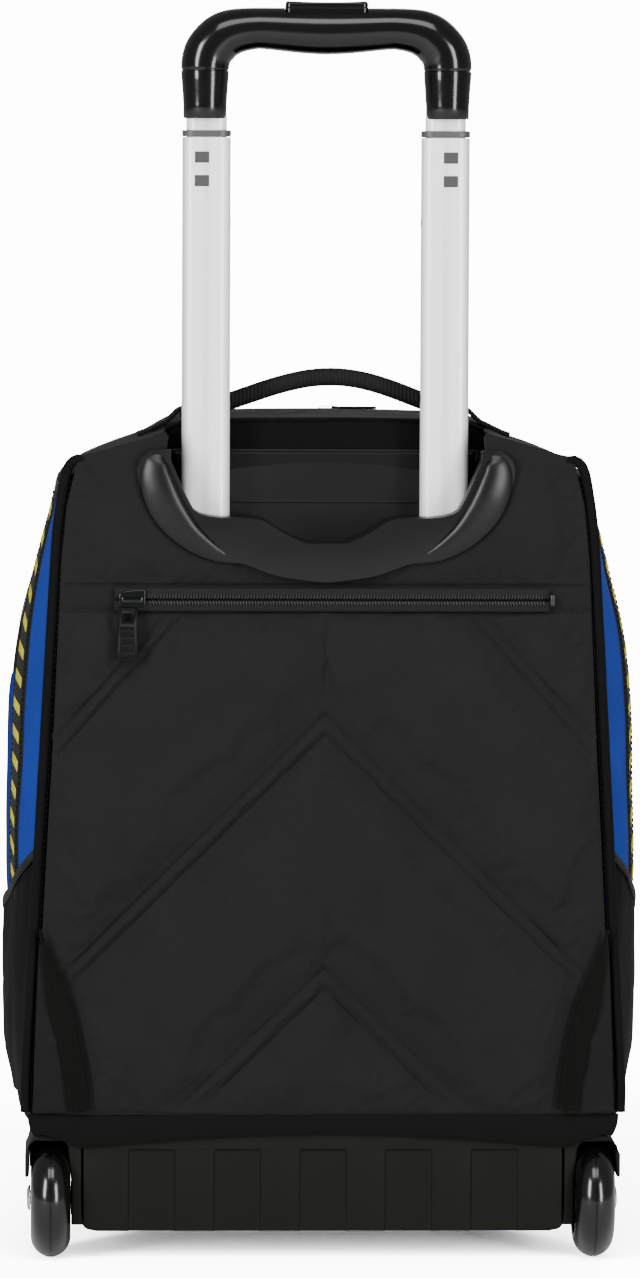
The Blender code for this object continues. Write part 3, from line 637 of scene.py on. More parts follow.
GREY_FABRIC = (0.0068, 0.0068, 0.0069)
MATERIALS = {
    "panel": woven("back_panel_fabric", "back_fabric", GREY_FABRIC, 0.0011),
    "panel_band": woven("zip_band_fabric", "back_fabric", shade(GREY_FABRIC, 0.92), 0.0011),
    "low_band": woven("lower_band_fabric", "back_fabric", grey(0.0016), 0.0011, sheen=0.02),
    "black_fabric": woven("black_fabric", "back_fabric", (0.0008, 0.0009, 0.0008), 0.0012, sheen=0.01),
    "gusset": woven("gusset_fabric", "back_fabric", (0.0052, 0.0052, 0.0053), 0.0010),
    "blue": woven("blue_fabric", "side_fabric", (0.0060, 0.0240, 0.1800), 0.0012, sheen=0.0),
    "deep_blue": woven("deep_blue_fabric", "side_fabric", (0.0021, 0.0141, 0.1222), 0.0012, sheen=0.0),
    "lining": woven("lining_fabric", "back_fabric", (0.0094, 0.0094, 0.0099), 0.0008),
    "thread": woven("sewing_thread", "back_fabric", grey(0.0030), 0.0005, 0.0001, (0.5, 0.7)),
    "piping": woven("piping_fabric", "back_fabric", (0.0004, 0.0005, 0.0004), 0.0009, 0.0002, (0.6, 0.8), 0.0),
    "webbing": ribbed("corner_webbing", "webbing", (0.0014, 0.0014, 0.0009), (0.5, 0.87), 0.0018, 0.00015, (0.7, 0.9),
                      0.15),
    "handle_webbing": ribbed("handle_webbing", "webbing", (0.0031, 0.0031, 0.0030), 0, 0.0022, 0.0005),
    "strap_webbing": ribbed("strap_webbing", "webbing", grey(0.0040), 2, 0.0020),
    "side_tape": ribbed("side_tape", "webbing", (0.0035, 0.0035, 0.0037), 2, 0.0016),
    "yellow": woven("yellow_bars", "webbing", (0.3760, 0.3478, 0.0258), 0.0009, sheen=0.0),
    "tape": ribbed("zip_tape", "zip_tape", (0.0040, 0.0040, 0.0041), 0, 0.0012, 0.00015),
    # The teeth are a lighter grey than the other black plastics: partly the coils' own colour, partly painted highlight
    # standing in for the glints along the glossy coils.
    "teeth": moulded("zip_teeth", "zip_tape", (0.0200, 0.0205, 0.0200), (0.18, 0.28), 0.0005, 0.00002),
    "gunmetal": metal("gunmetal", "gunmetal", (0.030, 0.031, 0.032), (0.12, 0.22), 2),
    "cup": moulded("cup_plastic", "satin_plastic", (0.0014, 0.0015, 0.0014), (0.30, 0.40), 0.0006, 0.00004, 0.3),
    # Painted shade: a darker copy of the cup's satin plastic for the back wall of the recess and the lock-hole discs,
    # standing in for the shade that falls there.
    "recess": moulded("recess_shade_plastic", "satin_plastic", (0.0010, 0.0014, 0.0012), (0.40, 0.52), 0.0006, 0.00004, 0.16),
    "base": moulded("base_plastic", "base_plastic", (0.0030, 0.0032, 0.0017), (0.50, 0.64), 0.0009, 0.00009, 0.14),
    "frame": moulded("frame_plastic", "base_plastic", (0.0024, 0.0024, 0.0022), (0.5, 0.65), 0.0009, 0.00006, 0.25),
    "collar": moulded("collar_plastic", "collar_plastic", (0.0541, 0.0517, 0.0517), (0.38, 0.5), 0.0006, 0.00003),
    "gloss": moulded("gloss_plastic", "gloss_black", (0.0008, 0.0008, 0.0009), (0.12, 0.22), 0.004, 0.00001, 0.32,
                     0.16),
    "hub": moulded("hub_plastic", "gloss_black", grey(0.0028), (0.22, 0.34), 0.001, 0.00002),
    "wheel": moulded("wheel_polyurethane", "wheel_black", (0.0014, 0.0014, 0.0012), (0.13, 0.24), 0.002, 0.00002, 0.4,
                     0.18),
    "aluminium": anodised("anodised_aluminium", "aluminium"),
    "steel": metal("steel", "steel", (0.62, 0.62, 0.61), (0.18, 0.32), 0),
    "rubber": moulded("foot_rubber", "rubber", grey(0.0056), (0.65, 0.85), 0.001, 0.0001),
    # Painted shade: a darker copy of the collar plastic that fills the tube windows in place of the shade seen through
    # them.
    "window_shade": moulded("tube_window_shade", "collar_plastic", (0.0399, 0.0385, 0.0385), (0.4, 0.55), 0.0008, 0.00003),
}


def clothe(obj, key, body, *nodes):
    """Gives a piece its material and its body, and hides the CAD nodes it stands for."""
    material = MATERIALS[key]
    if not obj.data.materials:
        obj.data.materials.append(material)
    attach(obj, body)
    if nodes:
        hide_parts(*nodes)
    return obj


# Camera, light and floor

def aimed(data, name, place, target):
    obj = bpy.data.objects.new(name, data)
    bpy.context.scene.collection.objects.link(obj)
    obj.location = place
    obj.rotation_euler = (Vector(target) - Vector(place)).to_track_quat("-Z", "Y").to_euler()
    return obj


def make_camera(azimuth=-2.0, elevation=4.0, distance=3.99, target=(-0.0032, -0.113, 0.3549)):
    a, e = math.radians(azimuth), math.radians(elevation)
    away = Vector((math.sin(a) * math.cos(e), -math.cos(a) * math.cos(e), math.sin(e)))
    data = bpy.data.cameras.new("camera")
    data.lens = 198.6
    data.sensor_width = 36
    data.clip_end = 50
    camera = aimed(data, "camera", Vector(target) + away * distance, target)
    lean = Matrix.Rotation(math.radians(0.25), 3, "Z")
    camera.rotation_euler = (camera.rotation_euler.to_matrix() @ lean).to_euler()
    bpy.context.scene.camera = camera


def softbox(name, place, size, power, target=(0, -0.1, 0.35)):
    data = bpy.data.lights.new(name, "AREA")
    data.shape = "RECTANGLE"
    data.size, data.size_y = size
    data.energy = power
    return aimed(data, name, place, target)


def make_studio():
    world = bpy.data.worlds.new("studio")
    bpy.context.scene.world = world
    world.use_nodes = True
    tree = world.node_tree
    tree.nodes.clear()
    seen = tree.nodes.new("ShaderNodeBackground")
    seen.inputs["Color"].default_value = (1, 1, 1, 1)
    seen.inputs["Strength"].default_value = 14
    lighting = tree.nodes.new("ShaderNodeBackground")
    lighting.inputs["Color"].default_value = (1, 1, 1, 1)
    lighting.inputs["Strength"].default_value = 0.36
    ray = tree.nodes.new("ShaderNodeLightPath")
    pick = tree.nodes.new("ShaderNodeMixShader")
    out = tree.nodes.new("ShaderNodeOutputWorld")
    tree.links.new(ray.outputs["Is Camera Ray"], pick.inputs[0])
    tree.links.new(lighting.outputs[0], pick.inputs[1])
    tree.links.new(seen.outputs[0], pick.inputs[2])
    tree.links.new(pick.outputs[0], out.inputs[0])

    softbox("front_left", (-2.1, -2.4, 1.3), (0.7, 1.8), 112)
    softbox("front_right", (1.8, -2.5, 0.9), (0.7, 1.8), 78)
    softbox("overhead", (0.0, -1.7, 2.5), (1.8, 1.0), 40, (0, -0.1, 0.3))
    softbox("behind", (0.6, 2.6, 1.6), (1.6, 1.2), 24)

    look = Look("pale_floor", "")
    look.tint(look.noise(0.4), grey(0.86), grey(0.88))
    look.fixed(Roughness=0.8)
    bm = bmesh.new()
    bmesh.ops.create_grid(bm, x_segments=2, y_segments=2, size=6)
    floor = from_bmesh("floor", bm)
    floor.data.materials.append(look.material)
    floor.is_shadow_catcher = True


make_camera()
make_studio()


# The bag's own shape

BULGE_Z = (0.076, 0.12, 0.18, 0.25, 0.32, 0.355, 0.39, 0.41, 0.43, 0.46)
BULGE_OUT = (0.006, 0.012, 0.0170, 0.0212, 0.0222, 0.0200, 0.0125, 0.0080, 0.0035, 0.001)
DEPTH_Y = (-0.104, -0.08, -0.04, 0.0, 0.04, 0.08, 0.1113)
DEPTH_SHARE = (0.0, 0.55, 0.92, 1.0, 0.94, 0.76, 0.45)
DEPTH_RAISE = (0.0, 0.0020, 0.0040, 0.0046, 0.0014, -0.003, -0.010)
BAG_MIDDLE = np.array((0.0, 0.27))
FACE_START = 0.098  # where the sides begin to turn into the front face
SIDE_LOW = 0.1665
SIDE_SLOPE = 0.050
SIDE_Z = np.linspace(0.088, 0.43, 70)


def half_width(z, y):
    bulge = smooth_curve(z, BULGE_Z, BULGE_OUT) * smooth_curve(y, DEPTH_Y, DEPTH_SHARE)
    return SIDE_LOW - SIDE_SLOPE * (np.asarray(z) - 0.09) + bulge


def half_outline(y):
    """The right half of the bag's section at this depth, from the middle of the bottom to the middle of the top."""
    raised = float(smooth_curve(y, DEPTH_Y, DEPTH_RAISE))
    top_half = float(half_width(0.43, y))
    wide = float(half_width(BAG_LOW, y))
    bottom = [(wide * share - 0.006 * share, BAG_LOW) for share in np.linspace(0, 1, 30)]
    corner = dense([bottom[-1], (float(half_width(0.08, y)) - 0.0015, 0.0785), (float(half_width(0.088, y)), 0.088)], 6)
    side = np.column_stack([half_width(SIDE_Z, y), SIDE_Z])
    back = 0.0055 * float(1 - soft_step(y, -0.104, -0.030))
    knots = [(1.0, 0.43 - raised), (0.979, 0.4405 + back * 0.5), (0.9036, 0.4496 + back), (0.795, 0.4570 + back),
             (0.674, 0.4636 + back * 0.8), (0.602, 0.4697 + back * 0.3), (0.540, 0.4738)]
    knots += [(0.450, 0.4752), (0.240, 0.4762), (0.0, 0.4765)]
    top = dense([(share * top_half, z + raised) for share, z in knots], 7)
    return np.concatenate([np.array(bottom), corner[1:-1], side, top[1:]])


def rumple(x, y, z):
    """How far the shell stands out or in from its plain shape, as soft folds in the fabric."""
    side = 3.0 if x > 0 else -3.0
    folds = ripple((y * 1.6, z * 0.45, side), 0.030, 1.0) * 0.0011
    folds += ripple((y, z, side), 0.055, 5.0) * 0.0014
    calm = soft_step(y, -0.104, -0.085) * (1 - soft_step(y, 0.085, 0.105) * 0.5)
    seam = soft_step(abs(y - LID_Y), 0.008, 0.022)
    return folds * float(calm) * float(seam)


def full_ring(y, inset):
    """The bag's whole section at this depth, drawn in by inset."""
    right = half_outline(y)
    ring = np.concatenate([right, np.column_stack([-right[-2:0:-1, 0], right[-2:0:-1, 1]])])
    return ring - unit(ring - BAG_MIDDLE) * inset


def shell_grid():
    stations = list(np.linspace(BAG_BACK, FACE_START, 52))
    insets = [0.0] * len(stations)
    for turn in np.radians((15, 30, 45, 60, 75, 90)):
        stations.append(FACE_START + (BAG_FRONT - FACE_START) * math.sin(turn))
        insets.append(0.014 * (1 - math.cos(turn)))
    grid = []
    for y, inset in zip(stations, insets):
        ring = full_ring(min(y, BAG_FRONT), inset)
        out = np.array([rumple(x, y, z) for x, z in ring])
        ring = ring + unit(ring - BAG_MIDDLE) * out[:, None]
        grid.append(np.column_stack([ring[:, 0], np.full(len(ring), y), ring[:, 1]]))
    last = grid[-1]
    centre = np.array((0.0, BAG_FRONT, BAG_MIDDLE[1]))
    for share in (0.97, 0.9, 0.78, 0.62, 0.44, 0.26, 0.1, 0.0):
        sunk = centre + (last - centre) * share
        sunk[:, 1] = BAG_FRONT + 0.0006 * (1 - share)
        grid.append(sunk)
    return np.array(grid)


def split_shell(name, keep, y_cut, z_cut):
    """The part of the bag's shell whose face centres keep says yes to, cut cleanly along both planes."""
    obj = from_grid(name, shell_grid(), wrap=True)
    with edited(obj) as bm:
        bmesh.ops.remove_doubles(bm, verts=bm.verts, dist=1e-5)
        for place, normal in (((0, y_cut, 0), (0, 1, 0)), ((0, 0, z_cut), (0, 0, 1))):
            geometry = list(bm.verts) + list(bm.edges) + list(bm.faces)
            bmesh.ops.bisect_plane(bm, geom=geometry, plane_co=place, plane_no=normal, dist=1e-6)
        gone = [f for f in bm.faces if not keep(f.calc_center_median())]
        bmesh.ops.delete(bm, geom=gone, context="FACES")
    bag_middle = Vector((0, 0, BAG_MIDDLE[1]))
    if sum((f.center - bag_middle).dot(f.normal) for f in obj.data.polygons) < 0:
        obj.data.flip_normals()
    return obj


CUP_NOTCH = (0.0912, -0.0705, 0.3995)


def in_cup(c):
    return abs(c.x) < CUP_NOTCH[0] and c.y < CUP_NOTCH[1] and c.z > CUP_NOTCH[2]


def lined(obj, outer, inner, thickness=0.0016):
    """Gives a sheet its thickness inwards, with a lining of its own material."""
    obj.data.materials.append(MATERIALS[outer])
    obj.data.materials.append(MATERIALS[inner])
    thickened(obj, thickness)
    obj.modifiers["thickness"].material_offset = 1
    obj.modifiers["thickness"].use_rim = True
    return applied(obj)


def make_shells():
    body = split_shell("bag_shell", lambda c: not (c.y > LID_Y and c.z > FOLD_Z) and not in_cup(c), LID_Y, FOLD_Z)
    clothe(lined(body, "black_fabric", "lining"), "black_fabric", "bag", "main_body")
    lid = split_shell("lid_shell", lambda c: c.y > LID_Y and c.z > FOLD_Z, LID_Y, FOLD_Z)
    clothe(lined(lid, "black_fabric", "lining"), "black_fabric", "lid", "front_lid")


def side_point(s, y, z, out):
    away = float(half_width(z, y)) + out + rumple(s, y, z)
    return (s * away, y, z)


def side_patch(name, s, y_edges, z_edges, out, key, rows, cols, thick=0.0008):
    """A panel on the bag's side. y_edges gives its back and front edge at a height, z_edges its low and high one."""
    def point(u, v):
        z_low, z_high = z_edges(u)
        z = z_low + (z_high - z_low) * v
        y_back, y_front = y_edges(z)
        full = (1 - (2 * u - 1) ** 6) * (1 - (2 * v - 1) ** 8)
        return side_point(s, y_back + (y_front - y_back) * u, z, out * min(1.0, 0.35 + full))

    clothe(sheet(name, grid_of(point, rows, cols), thick), key, "bag")


TAPE_Z = (0.200, 0.240, 0.300, 0.340, 0.380, 0.410, 0.440)
TAPE_BACK = (-0.0750, -0.0755, -0.0765, -0.0765, -0.0710, -0.0660, -0.0640)
TAPE_WIDE = (0.0230, 0.0230, 0.0230, 0.0235, 0.0250, 0.0250, 0.0200)


def tape_edges(z, s):
    back = float(smooth_curve(z, TAPE_Z, TAPE_BACK)) + (0.011 if s > 0 else 0.0)
    return back, back + float(smooth_curve(z, TAPE_Z, TAPE_WIDE))


def tape_bar(s, z):
    def point(u, v):
        share = 0.22 + 0.56 * u
        here = z + v * 0.0060 + (share - 0.5) * 0.0090
        back, front = tape_edges(here, s)
        return side_point(s, back + (front - back) * share, here, 0.0028)

    return sheet("bar", grid_of(point, 5, 7), 0.0003)


def make_side(side, s):
    """The two blue panels on one side, and the tape with yellow bars between them."""
    side_patch("blue_panel_" + side, s, lambda z: (-0.1035, tape_edges(z, s)[0] + 0.003),
               lambda u: (0.180, 0.439 - 0.002 * u), 0.0009, "blue", 90, 14)
    side_patch("deep_blue_panel_" + side, s, lambda z: (tape_edges(z, s)[1] - 0.003, 0.0325),
               lambda u: (0.180, 0.335 - 0.020 * u), 0.0009, "deep_blue", 60, 30)
    side_patch("side_tape_" + side, s, lambda z: tape_edges(z, s), lambda u: (0.178, 0.440), 0.0021, "side_tape",
               120, 8, 0.0009)
    bars = [tape_bar(s, 0.214 + i * 0.0160) for i in range(14)]
    clothe(joined("tape_bars_" + side, bars), "yellow", "bag")
    runs = []
    for edge, inset in ((0, 0.0016), (1, -0.0016)):
        path = [side_point(s, tape_edges(z, s)[edge] + inset, z, 0.0026) for z in np.linspace(0.182, 0.436, 88)]
        runs.append((path, (s, -0.3, 0.0)))
    clothe(stitches("side_tape_stitches_" + side, runs), "thread", "bag")


POCKET_BACK, POCKET_FRONT = -0.1030, 0.0300


def make_side_pocket(side, s):
    node = "side_pocket_" + side
    top, bottom = high(node).z, low(node).z

    def depth(u):
        return POCKET_BACK + (POCKET_FRONT - POCKET_BACK) * u

    def hem_z(u):
        return top - 0.0300 + 0.0445 * (1 - u) ** 2.8

    def fullness(u):
        return float(soft_step(u, 0, 0.45) * (1 - soft_step(u, 0.85, 1)))

    def point(u, v):
        z_low = bottom + 0.016 * (abs(2 * u - 1) ** 5)
        y, z = depth(u), z_low + (hem_z(u) - z_low) * v
        full = fullness(u) * min(1, v * 5) * (1 - 0.55 * v ** 6)
        gather = 0.0006 * math.sin(u * 70 + 2 * ripple((y, z, 0), 0.02)) * v ** 5
        slack = 0.0012 * ripple((y * 2, z, s * 9.0), 0.028, 2.0)
        return side_point(s, y, z, 0.0012 + full * (0.0030 + slack) + gather)

    clothe(sheet("side_pocket_cloth_" + side, grid_of(point, 60, 40), 0.0009), "black_fabric", "bag", node)
    hem = [side_point(s, depth(u), hem_z(u) - 0.002, 0.0022 + fullness(u) * 0.45 * 0.0034)
           for u in np.linspace(0.02, 0.98, 60)]
    clothe(swept("side_pocket_hem_" + side, hem, oval(0.0034, 0.0009, 14), (s, 0, 0)), "side_tape", "bag")


# Back panel

BAND_Z = (0.3710, 0.3848)
EDGE_Z = (0.0790, 0.0835, 0.180, 0.300, 0.400, 0.430, 0.452, 0.475)
EDGE_X = (0.1642, 0.1640, 0.1605, 0.1540, 0.1495, 0.1466, 0.1415, 0.1385)
CREST_X = (0.0, 0.090, 0.112, 0.130, 0.1385)
CREST_Z = (0.4735, 0.4716, 0.4653, 0.4598, 0.4580)
QUILT = (
    ((0.0920, 0.3660), (0.1520, 0.2990)), ((0.0830, 0.3660), (0.1520, 0.2880)),
    ((0.0, 0.3120), (0.1500, 0.1620)), ((0.0, 0.3007), (0.1500, 0.1520)),
    ((0.0, 0.1675), (0.0830, 0.0870)), ((0.0, 0.1555), (0.0700, 0.0870)),
)
NECK = ((0.0, 0.4045), (0.0600, 0.4045), (0.0800, 0.4120), (0.0880, 0.4250), (0.0901, 0.4400), (0.0901, 0.4800))
CORNER = ((0.1612, 0.190), (0.1562, 0.170), (0.1512, 0.150), (0.1455, 0.128), (0.1412, 0.106), (0.1390, 0.0868))


def on_line(z, line):
    """The X of a rising line of (x, z) points at this height."""
    return np.interp(z, [p[1] for p in line], [p[0] for p in line])


def under_strap(ax, z):
    """1 where the corner strap and its gusset lie over the padding, falling to 0 beside them."""
    inner = on_line(z, CORNER[::-1])
    return soft_step(ax, inner - 0.020, inner - 0.006) * (1 - soft_step(z, 0.186, 0.204))


def to_line(x, z, start, end):
    """Distance of points from a stretch of line."""
    run = np.array(end) - np.array(start)
    share = np.clip(((x - start[0]) * run[0] + (z - start[1]) * run[1]) / run.dot(run), 0, 1)
    return np.hypot(x - start[0] - share * run[0], z - start[1] - share * run[1])


def panel_edge(z):
    return np.interp(z, EDGE_Z, EDGE_X)


def panel_crest(x):
    return np.interp(np.abs(x), CREST_X, CREST_Z)


def panel_out(x, z):
    """How far the padded panel stands out from its sewn edge, at points of the panel."""
    ax = np.abs(x)
    seam = np.full(np.shape(x), 1.0)
    for start, end in QUILT:
        seam = np.minimum(seam, to_line(ax, z, start, end))
    edge = np.minimum(panel_edge(z) - ax, z - PANEL_LOW)
    edge = np.minimum(edge, panel_crest(ax) - z)
    band = np.minimum(np.abs(z - BAND_Z[0]), np.abs(z - BAND_Z[1]))
    inside = (z > BAND_Z[0]) & (z < BAND_Z[1])
    above = z >= BAND_Z[1]
    quilted = 0.0062 * (1 - np.exp(-seam / 0.0066)) * (1 - np.exp(-np.maximum(edge, 0) / 0.010))
    quilted *= 1 - np.exp(-band / 0.009)
    groove = 0.0022 * np.exp(-((seam / 0.0011) ** 2))
    plain = 0.0030 * (1 - np.exp(-np.maximum(edge, 0) / 0.012)) * (1 - np.exp(-band / 0.012))
    flat = 0.0008 * (1 - np.exp(-band / 0.0012))
    quilted *= 1 - 0.85 * under_strap(ax, z)
    out = np.where(inside, flat, np.where(above, plain, quilted))
    out = out - np.where(inside | above, 0.0, groove * 0.45)
    return out - 0.0011 * np.exp(-((band / 0.0009) ** 2)), seam, band, edge


def panel_puckers(x, z, seam, band, edge):
    """Small puckers that run off the stitch lines, and the slow unevenness of the padding."""
    out = np.zeros(len(x))
    for i in range(len(x)):
        s = -1.0 if x[i] < 0 else 1.0
        along = (x[i] * s - z[i]) * 0.7071
        near = math.exp(-seam[i] / 0.0065)
        rim = math.exp(-max(edge[i], 0.0) / 0.008) + 0.8 * math.exp(-band[i] / 0.006)
        across = ripple((along * 1.0, seam[i] * 0.25 * s, 0), 0.0062, 3.0 * s)
        fret = ripple((x[i], z[i] * 0.8, 1), 0.0075, 11.0)
        broad = ripple((x[i] * 0.9, z[i], 2), 0.046, 7.0)
        fold = ripple((x[i] * 0.6 + z[i] * 0.8 * s, z[i] * 0.35, 4), 0.021, 4.0)
        out[i] = 0.00048 * near * across + 0.00035 * rim * fret + 0.0007 * broad + 0.00032 * fold
    return out


def panel_at(x, z):
    """Where the panel's outer face is, for a few points on it."""
    x, z = np.atleast_1d(np.asarray(x, float)), np.atleast_1d(np.asarray(z, float))
    out, seam, band, edge = panel_out(x, z)
    return PANEL_Y + 0.0026 - out - panel_puckers(x, z, seam, band, edge)


def in_neck(x, z):
    return (np.abs(x) < on_line(z, NECK[1:])) & (z > NECK[0][1])


def make_back_panel():
    rows, cols = 250, 214
    u, v = np.meshgrid(np.linspace(-1, 1, cols), np.linspace(0, 1, rows))
    tall = panel_crest(u * 0.1385)
    z = PANEL_LOW + v * (tall - PANEL_LOW)
    x = u * panel_edge(z)
    flat_x, flat_z = x.ravel(), z.ravel()
    grid = np.stack([x, panel_at(flat_x, flat_z).reshape(x.shape), z], axis=-1)
    panel = from_grid("back_panel_padding", grid, keep=lambda c: ~in_neck(c[:, 0], c[:, 2]))
    puff_up(panel, pinned_by_seams)
    for key in ("panel", "panel_band"):
        panel.data.materials.append(MATERIALS[key])
    for face in panel.data.polygons:
        face.material_index = int(BAND_Z[0] < face.center.z < BAND_Z[1])
    thickened(panel, 0.0030, -1.0 if panel.data.polygons[0].normal.y < 0 else 1.0)
    applied(panel)
    clothe(panel, "panel", "bag", "back_panel")

    paths = []
    for start, end in QUILT:
        for s in (-1, 1):
            path = resampled([(s * start[0], start[1]), (s * end[0], end[1])], 0.004)
            inside = np.abs(path[:, 0]) < panel_edge(path[:, 1]) - 0.002
            paths.append(path[inside & (path[:, 1] > PANEL_LOW + 0.004)])
    for z in (BAND_Z[0] - 0.0012, BAND_Z[1] + 0.0012):
        xs = np.linspace(-panel_edge(z) + 0.003, panel_edge(z) - 0.003, 90)
        paths.append(np.column_stack([xs, np.full(len(xs), z)]))
    runs = [(np.column_stack([path[:, 0], panel_at(*path.T) - 0.0002, path[:, 1]]), BACKWARD) for path in paths]
    clothe(stitches("panel_stitches", runs), "thread", "bag")


def pinned_by_seams(x, z):
    _, seam, band, edge = panel_out(x, z)
    near = np.minimum(np.minimum(seam, band), np.maximum(edge, 0))
    return (near < 0.0016) | ((z > BAND_Z[0]) & (z < BAND_Z[1])) | (z > 0.455) | (under_strap(np.abs(x), z) > 0.5)


def puff_up(obj, pinned, cap=0.0016):
    """Inflates a sheet between its pinned lines with a short cloth simulation, and caps how far each point moves."""
    mesh = obj.data
    count = len(mesh.vertices)
    start = np.empty(count * 3)
    mesh.vertices.foreach_get("co", start)
    start = start.reshape(-1, 3)
    group = obj.vertex_groups.new(name="pins")
    held = np.nonzero(pinned(start[:, 0], start[:, 2]))[0]
    group.add(held.tolist(), 1.0, "REPLACE")
    cloth = obj.modifiers.new("cloth", "CLOTH")
    settings = cloth.settings
    settings.quality = 4
    settings.mass = 0.15
    settings.tension_stiffness = 12
    settings.compression_stiffness = 6
    settings.shear_stiffness = 4
    settings.bending_stiffness = 0.05
    settings.use_pressure = True
    settings.uniform_pressure_force = 3.0
    settings.shrink_min = -0.035
    settings.vertex_group_mass = "pins"
    settings.effector_weights.gravity = 0.0
    scene = bpy.context.scene
    for frame_number in range(1, 15):
        scene.frame_set(frame_number)
    graph = bpy.context.evaluated_depsgraph_get()
    shown = obj.evaluated_get(graph)
    end = np.empty(count * 3)
    shown.data.vertices.foreach_get("co", end)
    end = end.reshape(-1, 3)
    obj.modifiers.clear()
    scene.frame_set(1)
    moved = end - start
    size = np.linalg.norm(moved, axis=1)[:, None]
    moved *= np.minimum(1.0, cap / np.maximum(size, 1e-9))
    mesh.vertices.foreach_set("co", (start + moved).ravel())
    obj.vertex_groups.clear()
    mesh.update()


# Trim of the back

PIPING = ((0.1692, 0.0850), (0.1690, 0.110), (0.1652, 0.180), (0.1587, 0.300), (0.1530, 0.400), (0.1508, 0.425),
          (0.1476, 0.445), (0.1450, 0.4530), (0.1408, 0.4562), (0.1372, 0.4556), (0.1340, 0.4532))


def make_piping():
    for side, s in SIDES:
        path = resampled([(s * x, -0.1088, z) for x, z in dense(PIPING, 8)], 0.0025)
        run = lengths(path)
        wobble = [1 + 0.035 * ripple((0, 0, r), 0.012, s) for r in run]
        ends = np.minimum(1.0, np.sqrt(np.clip((run[-1] - run + 0.0004) / 0.004, 0, 1)))
        section = oval(0.0029, 0.0027, 22)
        cord = swept("edge_piping_" + side, path, section, (0, -1, 0), sizes=np.array(wobble) * ends)
        clothe(cord, "piping", "bag", "piping_" + side)
        inner = [(s * (x - 0.0034), -0.1099, z) for x, z in dense(PIPING[:7], 8)]
        clothe(stitches("piping_stitches_" + side, [(resampled(inner, 0.003), BACKWARD)]), "thread", "bag")


def make_lower_band():
    """The plain fabric band below the padded panel, with a soft roll along its top edge."""
    high_z = high("lower_band").z
    edge_x = (0, 0.040, 0.080, 0.120, 0.138, 0.150, 0.159, 0.165, 0.1685)
    edge_z = (0.0730, 0.0723, 0.0700, 0.0665, 0.0653, 0.0693, 0.0725, 0.0716, 0.0716)

    def point(u, v):
        x = u * (0.1680 - 0.0035 * (1 - v) ** 2)
        low_z = float(np.interp(abs(x), edge_x, edge_z))
        z = low_z + (high_z - low_z) * v
        full = math.sin(math.pi * min(1, 0.12 + v * 0.88)) ** 0.5
        return x, PANEL_Y + 0.0036 - 0.0019 * full - 0.0006 * ripple((x, 0, z * 2), 0.02, 3.0), z

    clothe(sheet("lower_band_cloth", grid_of(point, 14, 150, -1), 0.0012, 1.0), "low_band", "bag", "lower_band")


def corner_gusset(side, s):
    """The folded cloth between a corner strap and the edge of the panel."""
    def point(u, v):
        z = 0.0850 + v * 0.0960
        inner = float(on_line(z, CORNER[::-1]))
        x = inner + (float(panel_edge(z)) + 0.0015 - inner) * u
        crease = (x - 0.150) * 0.80 + (z - 0.1275)
        ridge = 0.0016 * math.exp(-abs(crease) / 0.0035)
        lift = 0.0012 * math.sin(math.pi * u) * math.sin(math.pi * min(1, v * 1.1))
        soft = 0.0007 * ripple((x, z, s), 0.014, 8.0)
        return s * x, PANEL_Y - 0.0003 - lift - ridge * min(1.0, 4 * u * (1 - u) + 0.2) - soft, z

    clothe(sheet("corner_gusset_" + side, grid_of(point, 50, 26), 0.0008), "gusset", "bag")


def make_corners():
    section = [(-0.0062, -0.0005), (0.0062, -0.0005), (0.0064, 0.0), (0.0060, 0.0007), (-0.0060, 0.0007),
               (-0.0064, 0.0)]
    for side, s in SIDES:
        path = resampled([(s * x, PANEL_Y - 0.0021, z) for x, z in dense(CORNER, 10)], 0.002)
        path[:, 1] -= 0.0012 * np.sin(np.linspace(0, math.pi, len(path)))
        taper = np.interp(lengths(path), (0, 0.045), (0.10, 1.0))
        strap = swept("corner_strap_" + side, path, section, BACKWARD, sizes=taper)
        clothe(strap, "webbing", "bag", "corner_webbing_" + side)
        sideways = np.cross(unit(np.gradient(path, axis=0)), BACKWARD) * taper[:, None]
        edges = [(path + sideways * across + np.array((0, -0.0009, 0)), BACKWARD) for across in (-0.0044, 0.0044)]
        clothe(stitches("corner_strap_stitches_" + side, edges, 0.003), "thread", "bag")
        corner_gusset(side, s)


# Moulded cup

FLANGE = ((0.0, 0.3870), (0.0270, 0.3900), (0.0420, 0.3960), (0.0480, 0.3980), (0.0680, 0.4005), (0.0840, 0.4090),
          (0.0990, 0.4250), (0.1070, 0.4460), (0.1060, 0.4560), (0.0985, 0.4620))
LEDGE_Z = 0.4235
POCKET = ((0.0, LEDGE_Z - 0.0160), (0.0110, LEDGE_Z - 0.0145), (0.0210, LEDGE_Z - 0.0105), (0.0300, LEDGE_Z - 0.0050),
          (0.0380, LEDGE_Z), (0.0725, LEDGE_Z + 0.0003), (0.0790, 0.4350), (0.0845, 0.4480), (0.0880, 0.4560))
CUP_Y = low("handle_cup").y
CUP_DEEP = high("handle_cup").y
FLANGE_Y = -0.1133


def softened(points, rounds):
    """The open line with its corners cut, keeping its two ends."""
    points = [tuple(p) for p in points]
    for _ in range(rounds):
        made = [points[0]]
        for a, b in zip(points, points[1:]):
            made.append((a[0] * 0.75 + b[0] * 0.25, a[1] * 0.75 + b[1] * 0.25))
            made.append((a[0] * 0.25 + b[0] * 0.75, a[1] * 0.25 + b[1] * 0.75))
        made.append(points[-1])
        points = made
    return points


RIM = (  # x, z, width and height of the raised rim, from its top end down
    (0.0955, 0.4600, 0.0070, 0.0016), (0.0966, 0.4545, 0.0145, 0.0046), (0.0962, 0.4460, 0.0196, 0.0062),
    (0.0930, 0.4360, 0.0215, 0.0070), (0.0872, 0.4250, 0.0205, 0.0062), (0.0780, 0.4140, 0.0165, 0.0050),
    (0.0665, 0.4055, 0.0115, 0.0034), (0.0565, 0.4008, 0.0062, 0.0018), (0.0480, 0.3985, 0.0012, 0.0004),
)


